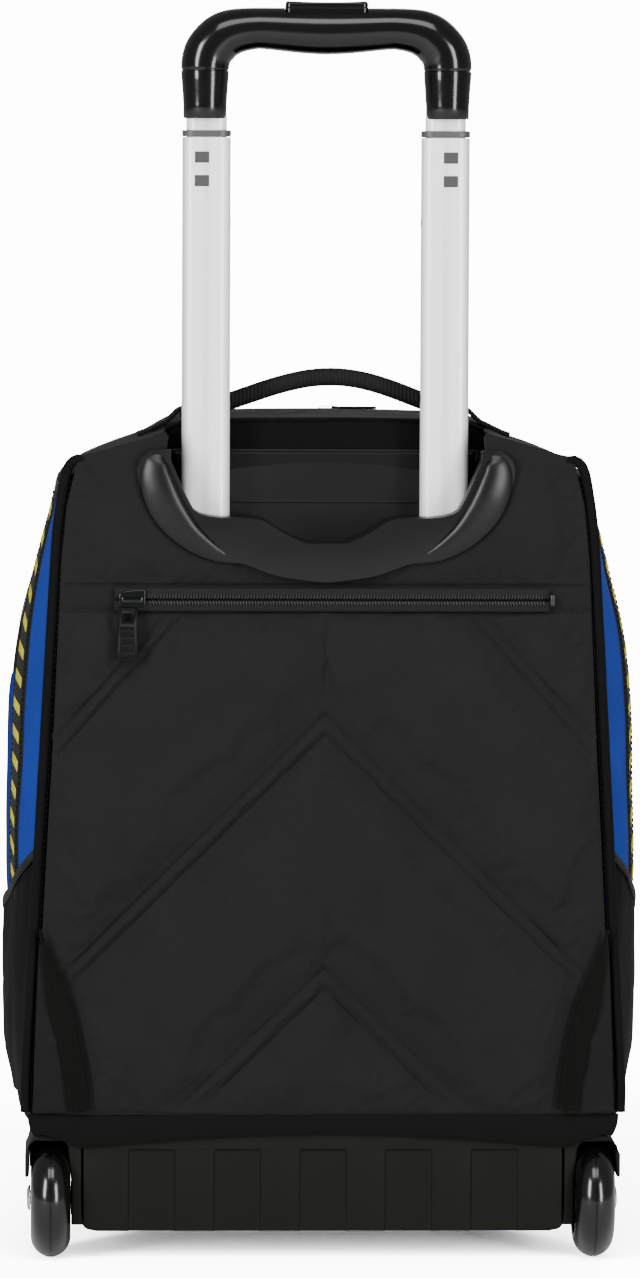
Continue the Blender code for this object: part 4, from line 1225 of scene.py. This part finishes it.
def make_cup_rim(side, s):
    fine = dense(RIM, 10)
    path = np.column_stack([s * fine[:, 0], np.full(len(fine), CUP_Y + 0.0018), fine[:, 1]])
    across = np.cross(unit(np.gradient(path, axis=0)), BACKWARD)
    grid = []
    for place, sideways, (_, _, wide, tall) in zip(path, across, fine):
        row = []
        for t in np.linspace(0, math.pi, 17):
            flat = math.cos(t)
            inward = flat * (1 if sideways[0] * s < 0 else -1)
            swell = math.sin(t) ** 0.75 * (1 + 0.30 * inward) / 1.12
            row.append(place + sideways * flat * wide / 2 + BACKWARD * tall * swell)
        grid.append(row)
    clothe(smoothed(capped(from_grid("cup_rim_" + side, grid)), 45), "cup", "bag")


def make_cup():
    edge = [p for p in softened(FLANGE, 2) if p[0] > 1e-6]
    cup = plate("cup_shell", mirrored(edge), FLANGE_Y, CUP_Y)
    box = [(0.0840, 0.4009), (0.0903, 0.4070), (0.0903, 0.4606)]
    body = plate("cup_body", mirrored(box), PANEL_Y + 0.0045, CUP_DEEP)
    cut(cup, body, "UNION")
    hollow = softened(POCKET[1:], 2)
    hollow = mirrored(hollow + [(0.0880, 0.5000)])
    cut(cup, plate("cup_hollow", hollow, -0.2, CUP_DEEP - 0.0010))
    for s in (-1, 1):
        hole = rounded_rectangle(0.0286, 0.0182, 0.0066, 8)
        cut(cup, upright("cup_hole", hole, s * TUBE.x, TUBE.y, 0.350, 0.600))
    smoothed(rounded(cup, 0.0011, 4, 40), 50)
    clothe(cup, "cup", "bag", "handle_cup")

    for side, s in SIDES:
        make_cup_rim(side, s)

    wall_y = CUP_DEEP - 0.0010
    half = 0.0866
    ribs = [block("rib", (-half, wall_y - 0.0006, z - tall / 2), (half, wall_y + 0.0006, z + tall / 2), 0.0003)
            for z, tall in ((0.4306, 0.0011), (0.4598, 0.0013))]
    grid = [[(x, wall_y + 0.0006 - 0.0005 * v ** 2 - 0.0003 * (x / 0.09) ** 2, 0.4312 + 0.0282 * v)
             for x in np.linspace(-half, half, 60)] for v in np.linspace(0, 1, 14)]
    field = sheet("recess_wall", grid, 0.0003, 1.0)
    clothe(joined("recess_ribs", ribs), "cup", "bag")
    # The wall between the ribs takes the darker recess plastic: painted shade for the back of the recess.
    clothe(field, "recess", "bag")

    ring = half_outline(-0.0705)
    ring = ring[ring[:, 1] > 0.40][::-1]

    def point(u, v):
        x = u * 0.0908
        crest = float(np.interp(abs(x), ring[:, 0], ring[:, 1]))
        z = 0.4596 + (crest - 0.0004 - 0.4596) * v
        return x, -0.0709 - 0.0002 * math.sin(math.pi * v) - 0.0002 * ripple((x, 0, z), 0.012, 2.0), z

    clothe(sheet("recess_fabric", grid_of(point, 12, 60, -1), 0.0010), "black_fabric", "bag")


# Trolley handle

LOCK_HOLES_Z = (0.490, 0.590)
WINDOWS_Z = (0.6267, 0.6134)
WINDOW_SHIFT = 0.0027


def make_tubes():
    outer = rounded_rectangle(0.0274, 0.0170, 0.0068, 10)
    inner = rounded_rectangle(0.0250, 0.0146, 0.0056, 10)
    window_y = TUBE.y - 0.0085
    for side, s in SIDES:
        x = s * TUBE.x
        tube = hollow_upright("outer_tube_sleeve_" + side, outer, inner, x, TUBE.y, TUBE_LOW, TUBE_TOP)
        for z in LOCK_HOLES_Z:
            cut(tube, rod("hole", (s * 0.050, TUBE.y, z), (s * 0.060, TUBE.y, z), 0.0029, 24))
        window_shades = []
        for z in WINDOWS_Z:
            x_mid = x + s * WINDOW_SHIFT
            start = (x_mid - 0.0041, window_y - 0.003, z - 0.0032)
            end = (x_mid + 0.0041, window_y + 0.003, z + 0.0032)
            cut(tube, block("window", start, end))
            # Painted shade: each window is filled with a darker grey insert that stands in for the shade seen through
            # the hole.
            start = (x_mid - 0.00395, window_y + 0.0003, z - 0.00305)
            end = (x_mid + 0.00395, window_y + 0.0019, z + 0.00305)
            window_shades.append(block("window_shade_insert", start, end, 0.0004, 2))
        smoothed(tube, 30)
        clothe(tube, "aluminium", "outer_stage", "outer_tube_" + side)
        clothe(joined("tube_window_shade_" + side, window_shades), "window_shade", "outer_stage")
        # Painted shade: near-black discs over the lock holes stand in for the shade inside them.
        hole_shade_discs = [rod("hole_shade_disc", (s * 0.0540, TUBE.y, z), (s * 0.0544, TUBE.y, z), 0.0031, 24, 0.0001)
                 for z in LOCK_HOLES_Z]
        clothe(joined("lock_hole_shade_" + side, hole_shade_discs), "recess", "outer_stage")

        box = (low("tube_collar_" + side), high("tube_collar_" + side))
        ring_out = rounded_rectangle(box[1].x - box[0].x, box[1].y - box[0].y, 0.0070, 10)
        ring_in = rounded_rectangle(0.0238, 0.0134, 0.0058, 10)
        collar = hollow_upright("collar_ring_" + side, ring_out, ring_in, x, TUBE.y, box[0].z, box[1].z)
        rounded(collar, 0.0004, 2, 50)
        clothe(collar, "collar", "outer_stage", "tube_collar_" + side)

        box = (low("inner_tube_" + side), high("inner_tube_" + side))
        ring_out = rounded_rectangle(0.0230, 0.0126, 0.0056, 10)
        ring_in = rounded_rectangle(0.0210, 0.0106, 0.0046, 10)
        tube = hollow_upright("inner_tube_sleeve_" + side, ring_out, ring_in, x, TUBE.y, box[0].z, box[1].z + 0.0022)
        clothe(tube, "aluminium", "inner_stage", "inner_tube_" + side)


GRIP_TOP = 0.7113
GRIP_LEG = ((0.6486, 0.0117), (0.6492, 0.0122), (0.6560, 0.0123), (0.6640, 0.0128), (0.6700, 0.0133), (0.6753, 0.01355),
            (0.6757, 0.0131), (0.6763, 0.0131), (0.6767, 0.0136))
GRIP_BEND = ((0.0688, 0.6767, 0.0136), (0.0684, 0.6815, 0.0137), (0.0663, 0.6872, 0.01375), (0.0604, 0.6938, 0.0136),
             (0.0540, 0.6972, 0.0131), (0.0470, 0.6988, 0.0123), (0.0390, 0.6996, 0.0117))


def grip_line():
    """Centre line and radius of the grip, from the foot of one leg over to the foot of the other."""
    legs = [(GRIP_BEND[0][0], z, r) for z, r in GRIP_LEG]
    bend = [tuple(p) for p in dense(GRIP_BEND, 5)[1:]]
    bar = []
    for x in np.linspace(0.035, 0.0, 8):
        radius = 0.0117 + 0.0015 * math.cos(x / 0.039 * math.pi / 2) ** 1.5
        bar.append((x, GRIP_TOP - radius, radius))
    right = legs + bend + bar
    return np.array(right + [(-x, z, r) for x, z, r in right[::-1][1:]])


def make_grip():
    line = grip_line()
    path = np.column_stack([line[:, 0], np.full(len(line), TUBE.y), line[:, 1]])
    turns = np.linspace(0, 2 * math.pi, 48, endpoint=False)
    section = [(math.cos(t), 0.985 * math.sin(t)) for t in turns]
    ups = np.repeat([(0.0, -1.0, 0.0)], len(path), axis=0)
    grip = swept("handle_grip", path, section, ups, sizes=line[:, 2])
    seats = ((0.0238, 0.0079, 0.7000, 0.0035), (0.0213, 0.0057, 0.6979, 0.0035), (0.0632, 0.0048, 0.6938, 0.0010))
    for half_x, half_y, floor_z, corner in seats:
        shape = rounded_rectangle(half_x * 2, half_y * 2, corner, 6)
        ceiling = 0.73 if half_x < 0.05 else 0.7030
        cut(grip, upright("seat", shape, 0.0, TUBE.y, floor_z, ceiling))
    smoothed(rounded(grip, 0.0005, 2, 50), 45)
    clothe(grip, "gloss", "inner_stage", "grip")

    box = (low("release_button"), high("release_button"))
    def point(u, v):
        x = (u - 0.5) * 0.0452
        y = TUBE.y + (-0.0066 + 0.0132 * v)
        z = box[1].z - 0.0009 * (1 - (2 * u - 1) ** 2) * (1 - 0.3 * (2 * v - 1) ** 2)
        return (x, y, z)

    grid = grid_of(point, 15, 41)
    top = sheet("button_top", grid, 0.0022, -1.0)
    skirt = upright("button_skirt", rounded_rectangle(0.0468, 0.0150, 0.0030, 6), 0, TUBE.y, 0.7110, 0.7143, 0.0007)
    neck = upright("button_neck", rounded_rectangle(0.0464, 0.0144, 0.0028, 6), 0, TUBE.y, 0.7042, 0.7114, 0.0004)
    for vert in neck.data.vertices:
        vert.co.x *= 1 + 0.016 * (vert.co.z - 0.7078) / 0.0036
    stem = upright("button_stem", rounded_rectangle(0.0410, 0.0100, 0.0020, 5), 0, TUBE.y, 0.7023, 0.7048)
    clothe(joined("grip_button", [top, skirt, neck, stem]), "gloss", "button", "release_button")


# Base and wheels

BASE_X = BASE_HIGH.x
ARCH = ((BASE_X, 0.0650), (0.120, 0.0662), (0.080, 0.0697), (0.040, 0.0720), (0.0, 0.0727))


def make_base():
    corner = [(BASE_X - 0.009, BASE_LOW.z), (BASE_X - 0.0015, BASE_LOW.z + 0.0015), (BASE_X, BASE_LOW.z + 0.009)]
    arch = softened(ARCH, 2)
    outline = softened(corner + [arch[0]], 2)[:-1] + arch
    outline = [p for p in outline if p[0] > 1e-6]
    tray = plate("base_shell", mirrored(outline), BASE_LOW.y, BASE_HIGH.y)
    for i in range(-2, 3):
        x = i * 0.0488
        recess = block("recess", (x - 0.0140, -0.2, BASE_LOW.z - 0.0060), (x + 0.0140, BASE_LOW.y + 0.0013, 0.0638))
        rounded(recess, 0.0026, 4)
        cut(tray, recess)
    smoothed(rounded(tray, 0.0012, 3, 28), 50)
    clothe(tray, "base", "bag", "base_tray")
    path = [(x, BASE_LOW.y - 0.0002, z - 0.0003) for x, z in mirrored(arch)]
    section = oval(0.0009, 0.0007, 12)
    clothe(swept("base_lip", resampled(path, 0.004), section, (0, -1, 0)), "base", "bag")


def make_housing(side, s):
    x_in, x_out = BASE_X - 0.0025, 0.1695
    arch = [(x_in, 0.0655), (0.150, 0.0690), (0.1590, 0.0722), (0.1650, 0.0700), (x_out, 0.0600)]
    outline = [(s * x, z) for x, z in [(x_in, 0.0200), (0.1432, 0.0200), (0.1432, 0.0230)]]
    roof = [(s * x, z) for x, z in softened(arch[::-1], 2)]
    outline += [(s * 0.1432, 0.0440), (s * 0.1452, 0.0640), (s * 0.1482, 0.0672), (s * 0.1640, 0.0676),
                (s * 0.1668, 0.0650), (s * 0.1675, 0.0480), (s * 0.1690, 0.0470), (s * x_out, 0.0480)] + roof
    housing = plate("housing_" + side, outline, BASE_LOW.y, -0.0500)
    cut(housing, rod("hole", (s * 0.130, WHEEL.y, WHEEL.z), (s * 0.150, WHEEL.y, WHEEL.z), 0.0043, 24))
    smoothed(rounded(housing, 0.0008, 3, 35), 50)
    wall = plate("housing_wall", [(s * x, z) for x, z in ((0.1425, 0.046), (0.1425, 0.069), (0.1672, 0.069),
                                                         (0.1672, 0.046))], -0.0545, -0.0500)
    boss = rod("boss", (s * 0.1425, WHEEL.y, WHEEL.z), (s * 0.1436, WHEEL.y, WHEEL.z), 0.0095, 32, 0.0003)
    cut(boss, rod("hole", (s * 0.130, WHEEL.y, WHEEL.z), (s * 0.150, WHEEL.y, WHEEL.z), 0.0043, 24))
    clothe(joined("wheel_arch_" + side, [housing, wall, boss]), "base", "bag", "wheel_housing_" + side)


def make_wheels():
    half = 0.0112
    rim = 0.0205
    for side, s in SIDES:
        middle_point = (s * WHEEL.x, WHEEL.y, WHEEL.z)
        outside = []
        for angle in np.radians(np.linspace(84, 4, 15)):
            outside.append((WHEEL_R * (1 - 0.34 * (1 - math.cos(angle)) ** 0.95), half * math.sin(angle)))
        line = [(WHEEL_R - 0.00005, 0.00045), (WHEEL_R - 0.00045, 0.00020)]
        profile = [(rim, half * 0.97), (rim + 0.0010, half)] + outside + line
        profile = profile + [(r, -h) for r, h in profile[::-1]]
        tyre = turned("tyre_ring_" + side, profile, middle_point, 128)
        clothe(tyre, "wheel", "wheel_" + side, "tyre_" + side)

        face = [(0.0044, half * 0.98), (0.0088, half * 0.98), (0.0092, half * 0.94), (0.0096, half * 0.60),
                (0.0104, half * 0.52), (0.0172, half * 0.48), (0.0182, half * 0.54), (0.0188, half * 0.82),
                (0.0192, half * 0.86), (0.0201, half * 0.86), (0.02015, half * 0.80)]
        hub = turned("hub_disc_" + side, face + [(r, -h) for r, h in face[::-1]], middle_point, 96)
        spokes = []
        for i in range(6):
            turn = Matrix.Translation(middle_point) @ Matrix.Rotation(i * math.pi / 3, 4, "X")
            spoke = block("spoke", (-half * 0.72, -0.0016, 0.0090), (half * 0.72, 0.0016, 0.0186), 0.0006, 2)
            spoke.data.transform(turn)
            spokes.append(spoke)
        clothe(joined("hub_" + side, [hub] + spokes), "hub", "wheel_" + side, "wheel_hub_" + side)

        start = s * (BASE_X + 0.0007)
        head = s * (WHEEL.x + half + 0.0005)
        shaft = rod("shaft", (start, WHEEL.y, WHEEL.z), (head + s * 0.001, WHEEL.y, WHEEL.z), 0.0040, 32)
        cap_profile = [(0.0, 0.0019), (0.0045, 0.0018), (0.0062, 0.0013), (0.0071, 0.0006), (0.0072, 0.0), (0.0, 0.0)]
        cap = turned("cap", [(max(r, 0.00002), s * h) for r, h in cap_profile], (head, WHEEL.y, WHEEL.z), 48)
        collar = turned("collar", [(0.0041, 0.0), (0.0066, 0.0), (0.0068, s * 0.0006), (0.0066, s * 0.0012),
                                   (0.0041, s * 0.0012)], (s * 0.14365, WHEEL.y, WHEEL.z), 40)
        clothe(joined("axle_" + side, [shaft, cap, collar]), "steel", "bag", "wheel_axle_" + side)


def make_feet():
    for side, _ in SIDES:
        node = "front_foot_" + side
        start, end = low(node), high(node)
        foot = block("foot", start, end, 0.0030, 4)
        x = (start.x + end.x) / 2
        for z in (0.0040, 0.0070, 0.0100):
            cut(foot, block("groove", (x - 0.05, start.y - 0.01, z), (x + 0.05, start.y + 0.0009, z + 0.0009)))
        clothe(joined("rubber_foot_" + side, [foot]), "rubber", "bag", node)


# Zips

def teeth(name, path, outs, pitch=0.0017, width=0.0076, tall=0.0013):
    """Two rows of zip coils along a path, each loop leaning a little, with a narrow gap down the middle."""
    verts, faces = [], []
    shape = ((-1.0, 0.10), (-0.62, 0.80), (0.0, 1.0), (0.70, 0.85), (1.0, 0.25))
    turns = ((-1.0, 0.1), (-0.55, 0.85), (0.0, 1.0), (0.55, 0.85), (1.0, 0.1))

    def places(whole):
        return [(n + 0.5) * pitch / 2 for n in range(2 * int(whole / pitch))]

    for n, (place, along, out, side) in enumerate(frames_along(path, outs, places)):
        side = side * (1 if n % 2 else -1)
        centre = place + side * width * 0.27
        first = len(verts)
        for across, size in shape:
            for turn, up in turns:
                reach = turn * 0.34 * pitch * (0.55 + 0.45 * size) + across * 0.22 * pitch
                verts.append(centre + along * reach + side * across * width * 0.215 + out * tall * size * up)
        for i in range(4):
            for j in range(4):
                a = first + i * 5 + j
                faces.append((a, a + 1, a + 6, a + 5))
        faces.append([first + i for i in (0, 5, 10, 15, 20, 21, 22, 23, 24, 19, 14, 9, 4, 3, 2, 1)])
    mesh = bpy.data.meshes.new(name)
    mesh.from_pydata([v.tolist() for v in verts], [], faces)
    obj = finished(name, mesh)
    with edited(obj):
        pass
    return smoothed(obj, 50)


def slider_body(name, size):
    """A zip slider in its own frame: X along the run, Y across it, Z away from the cloth."""
    length, width, tall = size
    outline = [(-0.5, 0.30), (-0.5, -0.30), (-0.30, -0.42), (0.1, -0.50), (0.5, -0.50), (0.5, 0.50), (0.1, 0.50),
               (-0.30, 0.42)]
    body = prism(name, [(x * length, y * width, 0) for x, y in outline], (0, 0, tall * 0.55))
    rounded(body, tall * 0.18, 3)
    bridge_path = [(-length * 0.42, 0, tall * 0.45), (-length * 0.36, 0, tall * 0.95), (0, 0, tall * 1.05),
                   (length * 0.36, 0, tall * 0.95), (length * 0.42, 0, tall * 0.45)]
    path = resampled(dense(bridge_path, 6), length / 40)
    section = oval(width * 0.13, tall * 0.10, 12)
    bridge = swept("bridge", path, section, (0, 0, 1))
    return joined(name, [body, bridge])


def pull_tab(name, size):
    """A pull in its own frame: it hangs along -Y from its eye at the origin, and Z points away from the cloth."""
    length, width, thick = size
    ring = 0.26
    outline = rounded_rectangle(width, length, width * 0.20, 6)
    tab = prism(name, [(x, y - length / 2 + 0.0007, -thick / 2) for x, y in outline], (0, 0, thick))
    eye = block("eye", (-width * 0.24, -length * ring + 0.001, -1), (width * 0.24, -length * 0.075, 1), 0.0)
    cut(tab, eye)
    field = (-width * 0.36, -length * 0.92, thick * 0.22), (width * 0.36, -length * (ring + 0.07), 1)
    cut(tab, block("field", *field))
    rounded(tab, min(thick * 0.3, 0.0004), 2, 40)
    bars = [tab]
    for i in range(4):
        y = -length * (ring + 0.17 + i * 0.145)
        bars.append(block("bar", (-width * 0.27, y - 0.0007, thick * 0.15),
                          (width * 0.27, y + 0.0007, thick * 0.42), 0.0003))
    return joined(name, bars)


def frame_turn(x_axis, y_axis, z_axis, place):
    turn = Matrix((x_axis, y_axis, z_axis)).transposed().to_4x4()
    return Matrix.Translation(place) @ turn


def make_flat_zip(prefix, body, out, x_reach):
    """The straight zip on a face that looks along Y, with its slider and hanging pull."""
    chain_low, chain_high = low(prefix + "_chain"), high(prefix + "_chain")
    z = (chain_low.z + chain_high.z) / 2
    face_y = chain_high.y if out < 0 else chain_low.y
    strips = []
    for edge in (-1, 1):
        grid = []
        for x in np.linspace(chain_low.x, chain_high.x, 120):
            row = []
            for v in np.linspace(0, 1, 5):
                offset = edge * (0.0009 + 0.0058 * v)
                y = face_y + out * (0.0011 - 0.0006 * v + 0.0001 * ripple((x, v * 0.01, 0), 0.01))
                row.append((x, y, z + offset))
            grid.append(row)
        strips.append(sheet("strip", grid, 0.0006))
    clothe(joined(prefix + "_tape", strips), "tape", body, prefix + "_chain")
    path = [(x, face_y + out * 0.0010, z) for x in np.linspace(*x_reach, 60)]
    clothe(teeth(prefix + "_teeth", path, np.array((0, out, 0.0))), "teeth", body)
    stop = x_reach[1] + 0.0028
    end = block("stop", (stop, face_y + out * 0.0004, z - 0.0030),
                (stop + 0.0022, face_y + out * 0.0023, z + 0.0030), 0.0004)
    clothe(joined(prefix + "_stop", [end]), "teeth", body)

    slider_low, slider_high = low(prefix + "_slider"), high(prefix + "_slider")
    slider = slider_body(prefix + "_slider_body", (slider_high.x - slider_low.x, 0.0112, 0.0030))
    base_y = slider_high.y if out < 0 else slider_low.y
    centre = ((slider_low.x + slider_high.x) / 2, base_y, z)
    along = Vector((1, 0, 0))
    outward = Vector((0, out, 0))
    slider.data.transform(frame_turn(along, outward.cross(along), outward, centre))
    clothe(slider, "gunmetal", prefix[:-4] + "_slider", prefix + "_slider")

    pull_low, pull_high = low(prefix + "_pull"), high(prefix + "_pull")
    pull = pull_tab(prefix + "_pull_tab", (pull_high.z - pull_low.z, pull_high.x - pull_low.x, 0.0016))
    x_axis = Vector((-out, 0, 0))
    place = ((pull_low.x + pull_high.x) / 2, (pull_low.y + pull_high.y) / 2, pull_high.z - 0.0007)
    pull.data.transform(frame_turn(x_axis, Vector((0, 0, 1)), outward, place))
    clothe(pull, "gunmetal", prefix[:-4] + "_pull", prefix + "_pull")


def main_zip_line(y, out):
    ring = half_outline(y)
    ring = ring[ring[:, 1] > 0.2045]
    run = lengths(ring)
    even = np.linspace(0, run[-1], 110)
    right = np.column_stack([np.interp(even, run, ring[:, k]) for k in (0, 1)])
    line = np.concatenate([right, np.column_stack([-right[::-1, 0], right[::-1, 1]])[1:]])
    along = unit(np.gradient(line, axis=0))
    normal = np.column_stack([along[:, 1], -along[:, 0]])
    if (normal * (line - np.array((0, 0.27)))).sum() < 0:
        normal = -normal
    points = line + normal * out
    return np.column_stack([points[:, 0], np.full(len(points), y), points[:, 1]]), \
        np.column_stack([normal[:, 0], np.zeros(len(points)), normal[:, 1]])


def make_main_zip():
    for part, body, near, far in (("body", "bag", 0.0397, 0.0330), ("lid", "lid", 0.0403, 0.0470)):
        rows = []
        for v in np.linspace(0, 1, 5):
            rows.append(main_zip_line(near + (far - near) * v, 0.0003 + 0.0002 * (1 - v))[0])
        grid = np.array(rows)
        strip = sheet("main_zip_tape_" + part, grid, 0.0007)
        clothe(strip, "tape", body, "main_zip_" + part + "_side")
        y = near + (0.0011 if part == "lid" else -0.0011)
        points, normals = main_zip_line(y, 0.0008)
        clothe(teeth("main_zip_teeth_" + part, points, normals, 0.0026, 0.0026, 0.0011), "teeth", body)
    slider_low, slider_high = low("main_zip_slider"), high("main_zip_slider")
    slider = slider_body("main_slider_body", (slider_high.x - slider_low.x, 0.0090, 0.0024))
    crest = half_outline(LID_Y)[-1, 1]
    centre = ((slider_low.x + slider_high.x) / 2, (slider_low.y + slider_high.y) / 2, crest + 0.0008)
    slider.data.transform(Matrix.Translation(centre))
    clothe(slider, "gunmetal", "main_slider", "main_zip_slider")
    pull_low, pull_high = low("main_zip_pull"), high("main_zip_pull")
    pull = pull_tab("main_pull_tab", (pull_high.x - pull_low.x, pull_high.y - pull_low.y, 0.0013))
    place = (pull_low.x + 0.0007, (pull_low.y + pull_high.y) / 2, crest + 0.0024)
    pull.data.transform(frame_turn(Vector((0, 1, 0)), Vector((-1, 0, 0)), Vector((0, 0, 1)), place))
    clothe(pull, "gunmetal", "main_pull", "main_zip_pull")


# Top handle, front and inside

def make_carry_handle():
    handle_y = middle("carry_handle").y
    span = high("carry_handle").x
    foot, rise = 0.4812, 0.0203
    path, sizes = [], []
    for share in np.linspace(-1, 1, 90):
        lean = share - 0.05 * (1 - share * share)
        path.append((span * share, handle_y, foot + rise * math.cos(lean * math.pi / 2) ** 1.6))
        sizes.append(1 - 0.35 * abs(share) ** 8)
    section = oval(0.0056, 0.0051, 29, 0.8)
    handle = swept("carry_handle_webbing", path, section, (0, 0, 1), sizes=sizes)
    clothe(handle, "handle_webbing", "carry_handle", "carry_handle")
    runs = []
    for across in (-0.0036, 0.0036):
        line = [(x, handle_y + across, z + 0.0048) for x, _, z in path[12:-12]]
        runs.append((line, np.array((0, 0, 1.0))))
    clothe(stitches("carry_handle_stitches", runs, 0.0042, 0.0028, 0.0003), "thread", "carry_handle")
    for side, s in SIDES:
        node = "handle_tab_" + side
        start, end = low(node), high(node)
        x_in, x_out = s * 0.0775, end.x if s > 0 else start.x
        ring = half_outline(handle_y)
        ring = ring[ring[:, 1] > 0.43][::-1]
        flap = []
        for v in np.linspace(0, 1, 24):
            x = x_in + (x_out + s * 0.014 - x_in) * v
            crest = float(np.interp(abs(x), ring[:, 0], ring[:, 1]))
            lift = 0.0042 * (1 - float(soft_step(abs(x), 0.0815, 0.0905)))
            flap.append([(x, start.y - 0.001 + (end.y - start.y + 0.002) * u,
                          crest + 0.0014 + lift + 0.0006 * math.sin(math.pi * u)) for u in np.linspace(0, 1, 9)])
        patch = sheet("flap", flap, 0.0024)
        clothe(joined("handle_anchor_" + side, [patch]), "handle_webbing", "bag", node)


def puffed_box(name, x_half, z_range, y_back, y_front, seed):
    """A soft pocket on the bag's front: full in the middle, drawn in at its sewn edge."""
    def point(u, v):
        a, b = abs(u), abs(2 * v - 1)
        round_off = (1 - a ** 7) * (1 - b ** 9)
        wide = x_half * (1 - 0.045 * b ** 4)
        z = z_range[0] + (z_range[1] - z_range[0]) * v
        z += (0.5 - v) * 0.012 * a ** 6
        x = wide * u
        full = max(0.0, round_off) ** 0.55
        soft = 0.0010 * ripple((x, z, seed), 0.034, seed) + 0.0006 * ripple((x * 0.6, z * 1.6, seed), 0.018, seed)
        y = y_back + (y_front - y_back - 0.0010) * full * (0.90 + 0.10 * (1 - a * a) * (1 - b * b))
        return (x, y + soft * min(1, full * 2), z)

    return sheet(name, grid_of(point, 46, 70, -1), 0.0012)


def make_front_pockets():
    for node, body, seed in (("front_pocket_lower", "bag", 3.0), ("front_pocket_upper", "lid", 8.0)):
        start, end = low(node), high(node)
        pocket = puffed_box(node + "_cloth", end.x, (start.z, end.z), start.y + 0.0006, end.y - 0.0004, seed)
        clothe(pocket, "black_fabric", body, node)
        rim = []
        count = 160
        for i in range(count + 1):
            t = 2 * math.pi * i / count
            cx, cz = math.cos(t), math.sin(t)
            x = (end.x + 0.0008) * squared(cx, 0.24)
            z = (start.z + end.z) / 2 + ((end.z - start.z) / 2 + 0.0006) * squared(cz, 0.24)
            rim.append((x, start.y + 0.0010, z))
        section = oval(0.0016, 0.0016, 13)
        path = resampled(rim, 0.004)
        centre = np.array((0.0, start.y, (start.z + end.z) / 2))
        clothe(swept(node + "_piping", path, section, path - centre + np.array((0, 0.05, 0))), "piping", body)
    end = high("front_pocket_lower")
    line = [(x, end.y - 0.0004, end.z - 0.012) for x in np.linspace(-end.x + 0.018, end.x - 0.018, 60)]
    clothe(stitches("front_pocket_stitches", [(line, np.array((0, 1.0, 0)))]), "thread", "bag")
    bars = []
    for i in range(-3, 4):
        x = i * 0.026
        grid = [[(x + u * 0.008 + v * 0.030, high("front_pocket_upper").y - 0.0002 + 0.0002 * math.sin(math.pi * u),
                  0.268 + v * 0.034) for u in np.linspace(0, 1, 4)] for v in np.linspace(0, 1, 8)]
        bars.append(sheet("bar", grid, 0.0004))
    clothe(joined("front_bars", bars), "yellow", "lid")


def make_straps():
    for side, _ in SIDES:
        node = "shoulder_strap_" + side
        start, end = low(node), high(node)
        grid = []
        for v in np.linspace(0, 1, 70):
            row = []
            for t in np.linspace(0, 2 * math.pi, 41)[:-1]:
                c, q = math.cos(t), math.sin(t)
                taper = 1 - 0.30 * soft_step(v, 0.55, 1.0) - 0.10 * (1 - soft_step(v, 0.0, 0.12))
                x = (start.x + end.x) / 2 + (end.x - start.x) / 2 * taper * squared(c, 0.5)
                quilt = 1 - 0.16 * math.exp(-((math.sin(v * math.pi * 9)) / 0.22) ** 2)
                y = (start.y + end.y) / 2 + (end.y - start.y) / 2 * quilt * squared(q, 0.6)
                row.append((x, y, start.z + (end.z - start.z) * v))
            grid.append(row)
        strap = capped(from_grid("stowed_strap_" + side, grid, wrap=True))
        clothe(strap, "strap_webbing", "bag", node)


def make_trolley_lining():
    """The cloth that screens the handle's guides off from the inside of the bag."""
    start, end = low("trolley_lining"), high("trolley_lining")

    def point(u, v):
        z = start.z + (end.z - start.z) * v
        half = float(np.interp(z, (0.0815, 0.100, 0.396, 0.440, 0.457, 0.4685),
                               (0.150, 0.160, 0.1475, 0.1445, 0.124, 0.084)))
        half = min(half, end.x)
        x = half * u
        soft = 0.00055 * ripple((x, z, 6), 0.030, 2.0)
        return (x, (start.y + end.y) / 2 + soft, z)

    lining = sheet("trolley_lining_cloth", grid_of(point, 90, 70, -1), 0.0010)
    clothe(lining, "lining", "bag", "trolley_lining")


def finish_cad_nodes():
    """Better materials on the CAD nodes that stay as they are."""
    kept = {"back_board": "frame", "trolley_foot_bar": "frame", "release_yoke": "frame"}
    for side, _ in SIDES:
        kept.update({"guide_sleeve_" + side: "frame", "lock_housing_" + side: "frame", "lock_pin_" + side: "steel",
                     "lock_spring_" + side: "steel"})
    for node, key in kept.items():
        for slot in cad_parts[node].material_slots:
            slot.material = MATERIALS[key]


make_shells()
for side, s in SIDES:
    make_side(side, s)
    make_side_pocket(side, s)
make_back_panel()
make_piping()
make_lower_band()
make_corners()
make_cup()
make_tubes()
make_grip()
make_base()
for side, s in SIDES:
    make_housing(side, s)
make_wheels()
make_feet()
make_flat_zip("back_zip", "bag", -1, (-0.1005, 0.1245))
make_flat_zip("front_zip", "lid", 1, (-0.098, 0.101))
make_main_zip()
make_carry_handle()
make_front_pockets()
make_straps()
make_trolley_lining()
finish_cad_nodes()
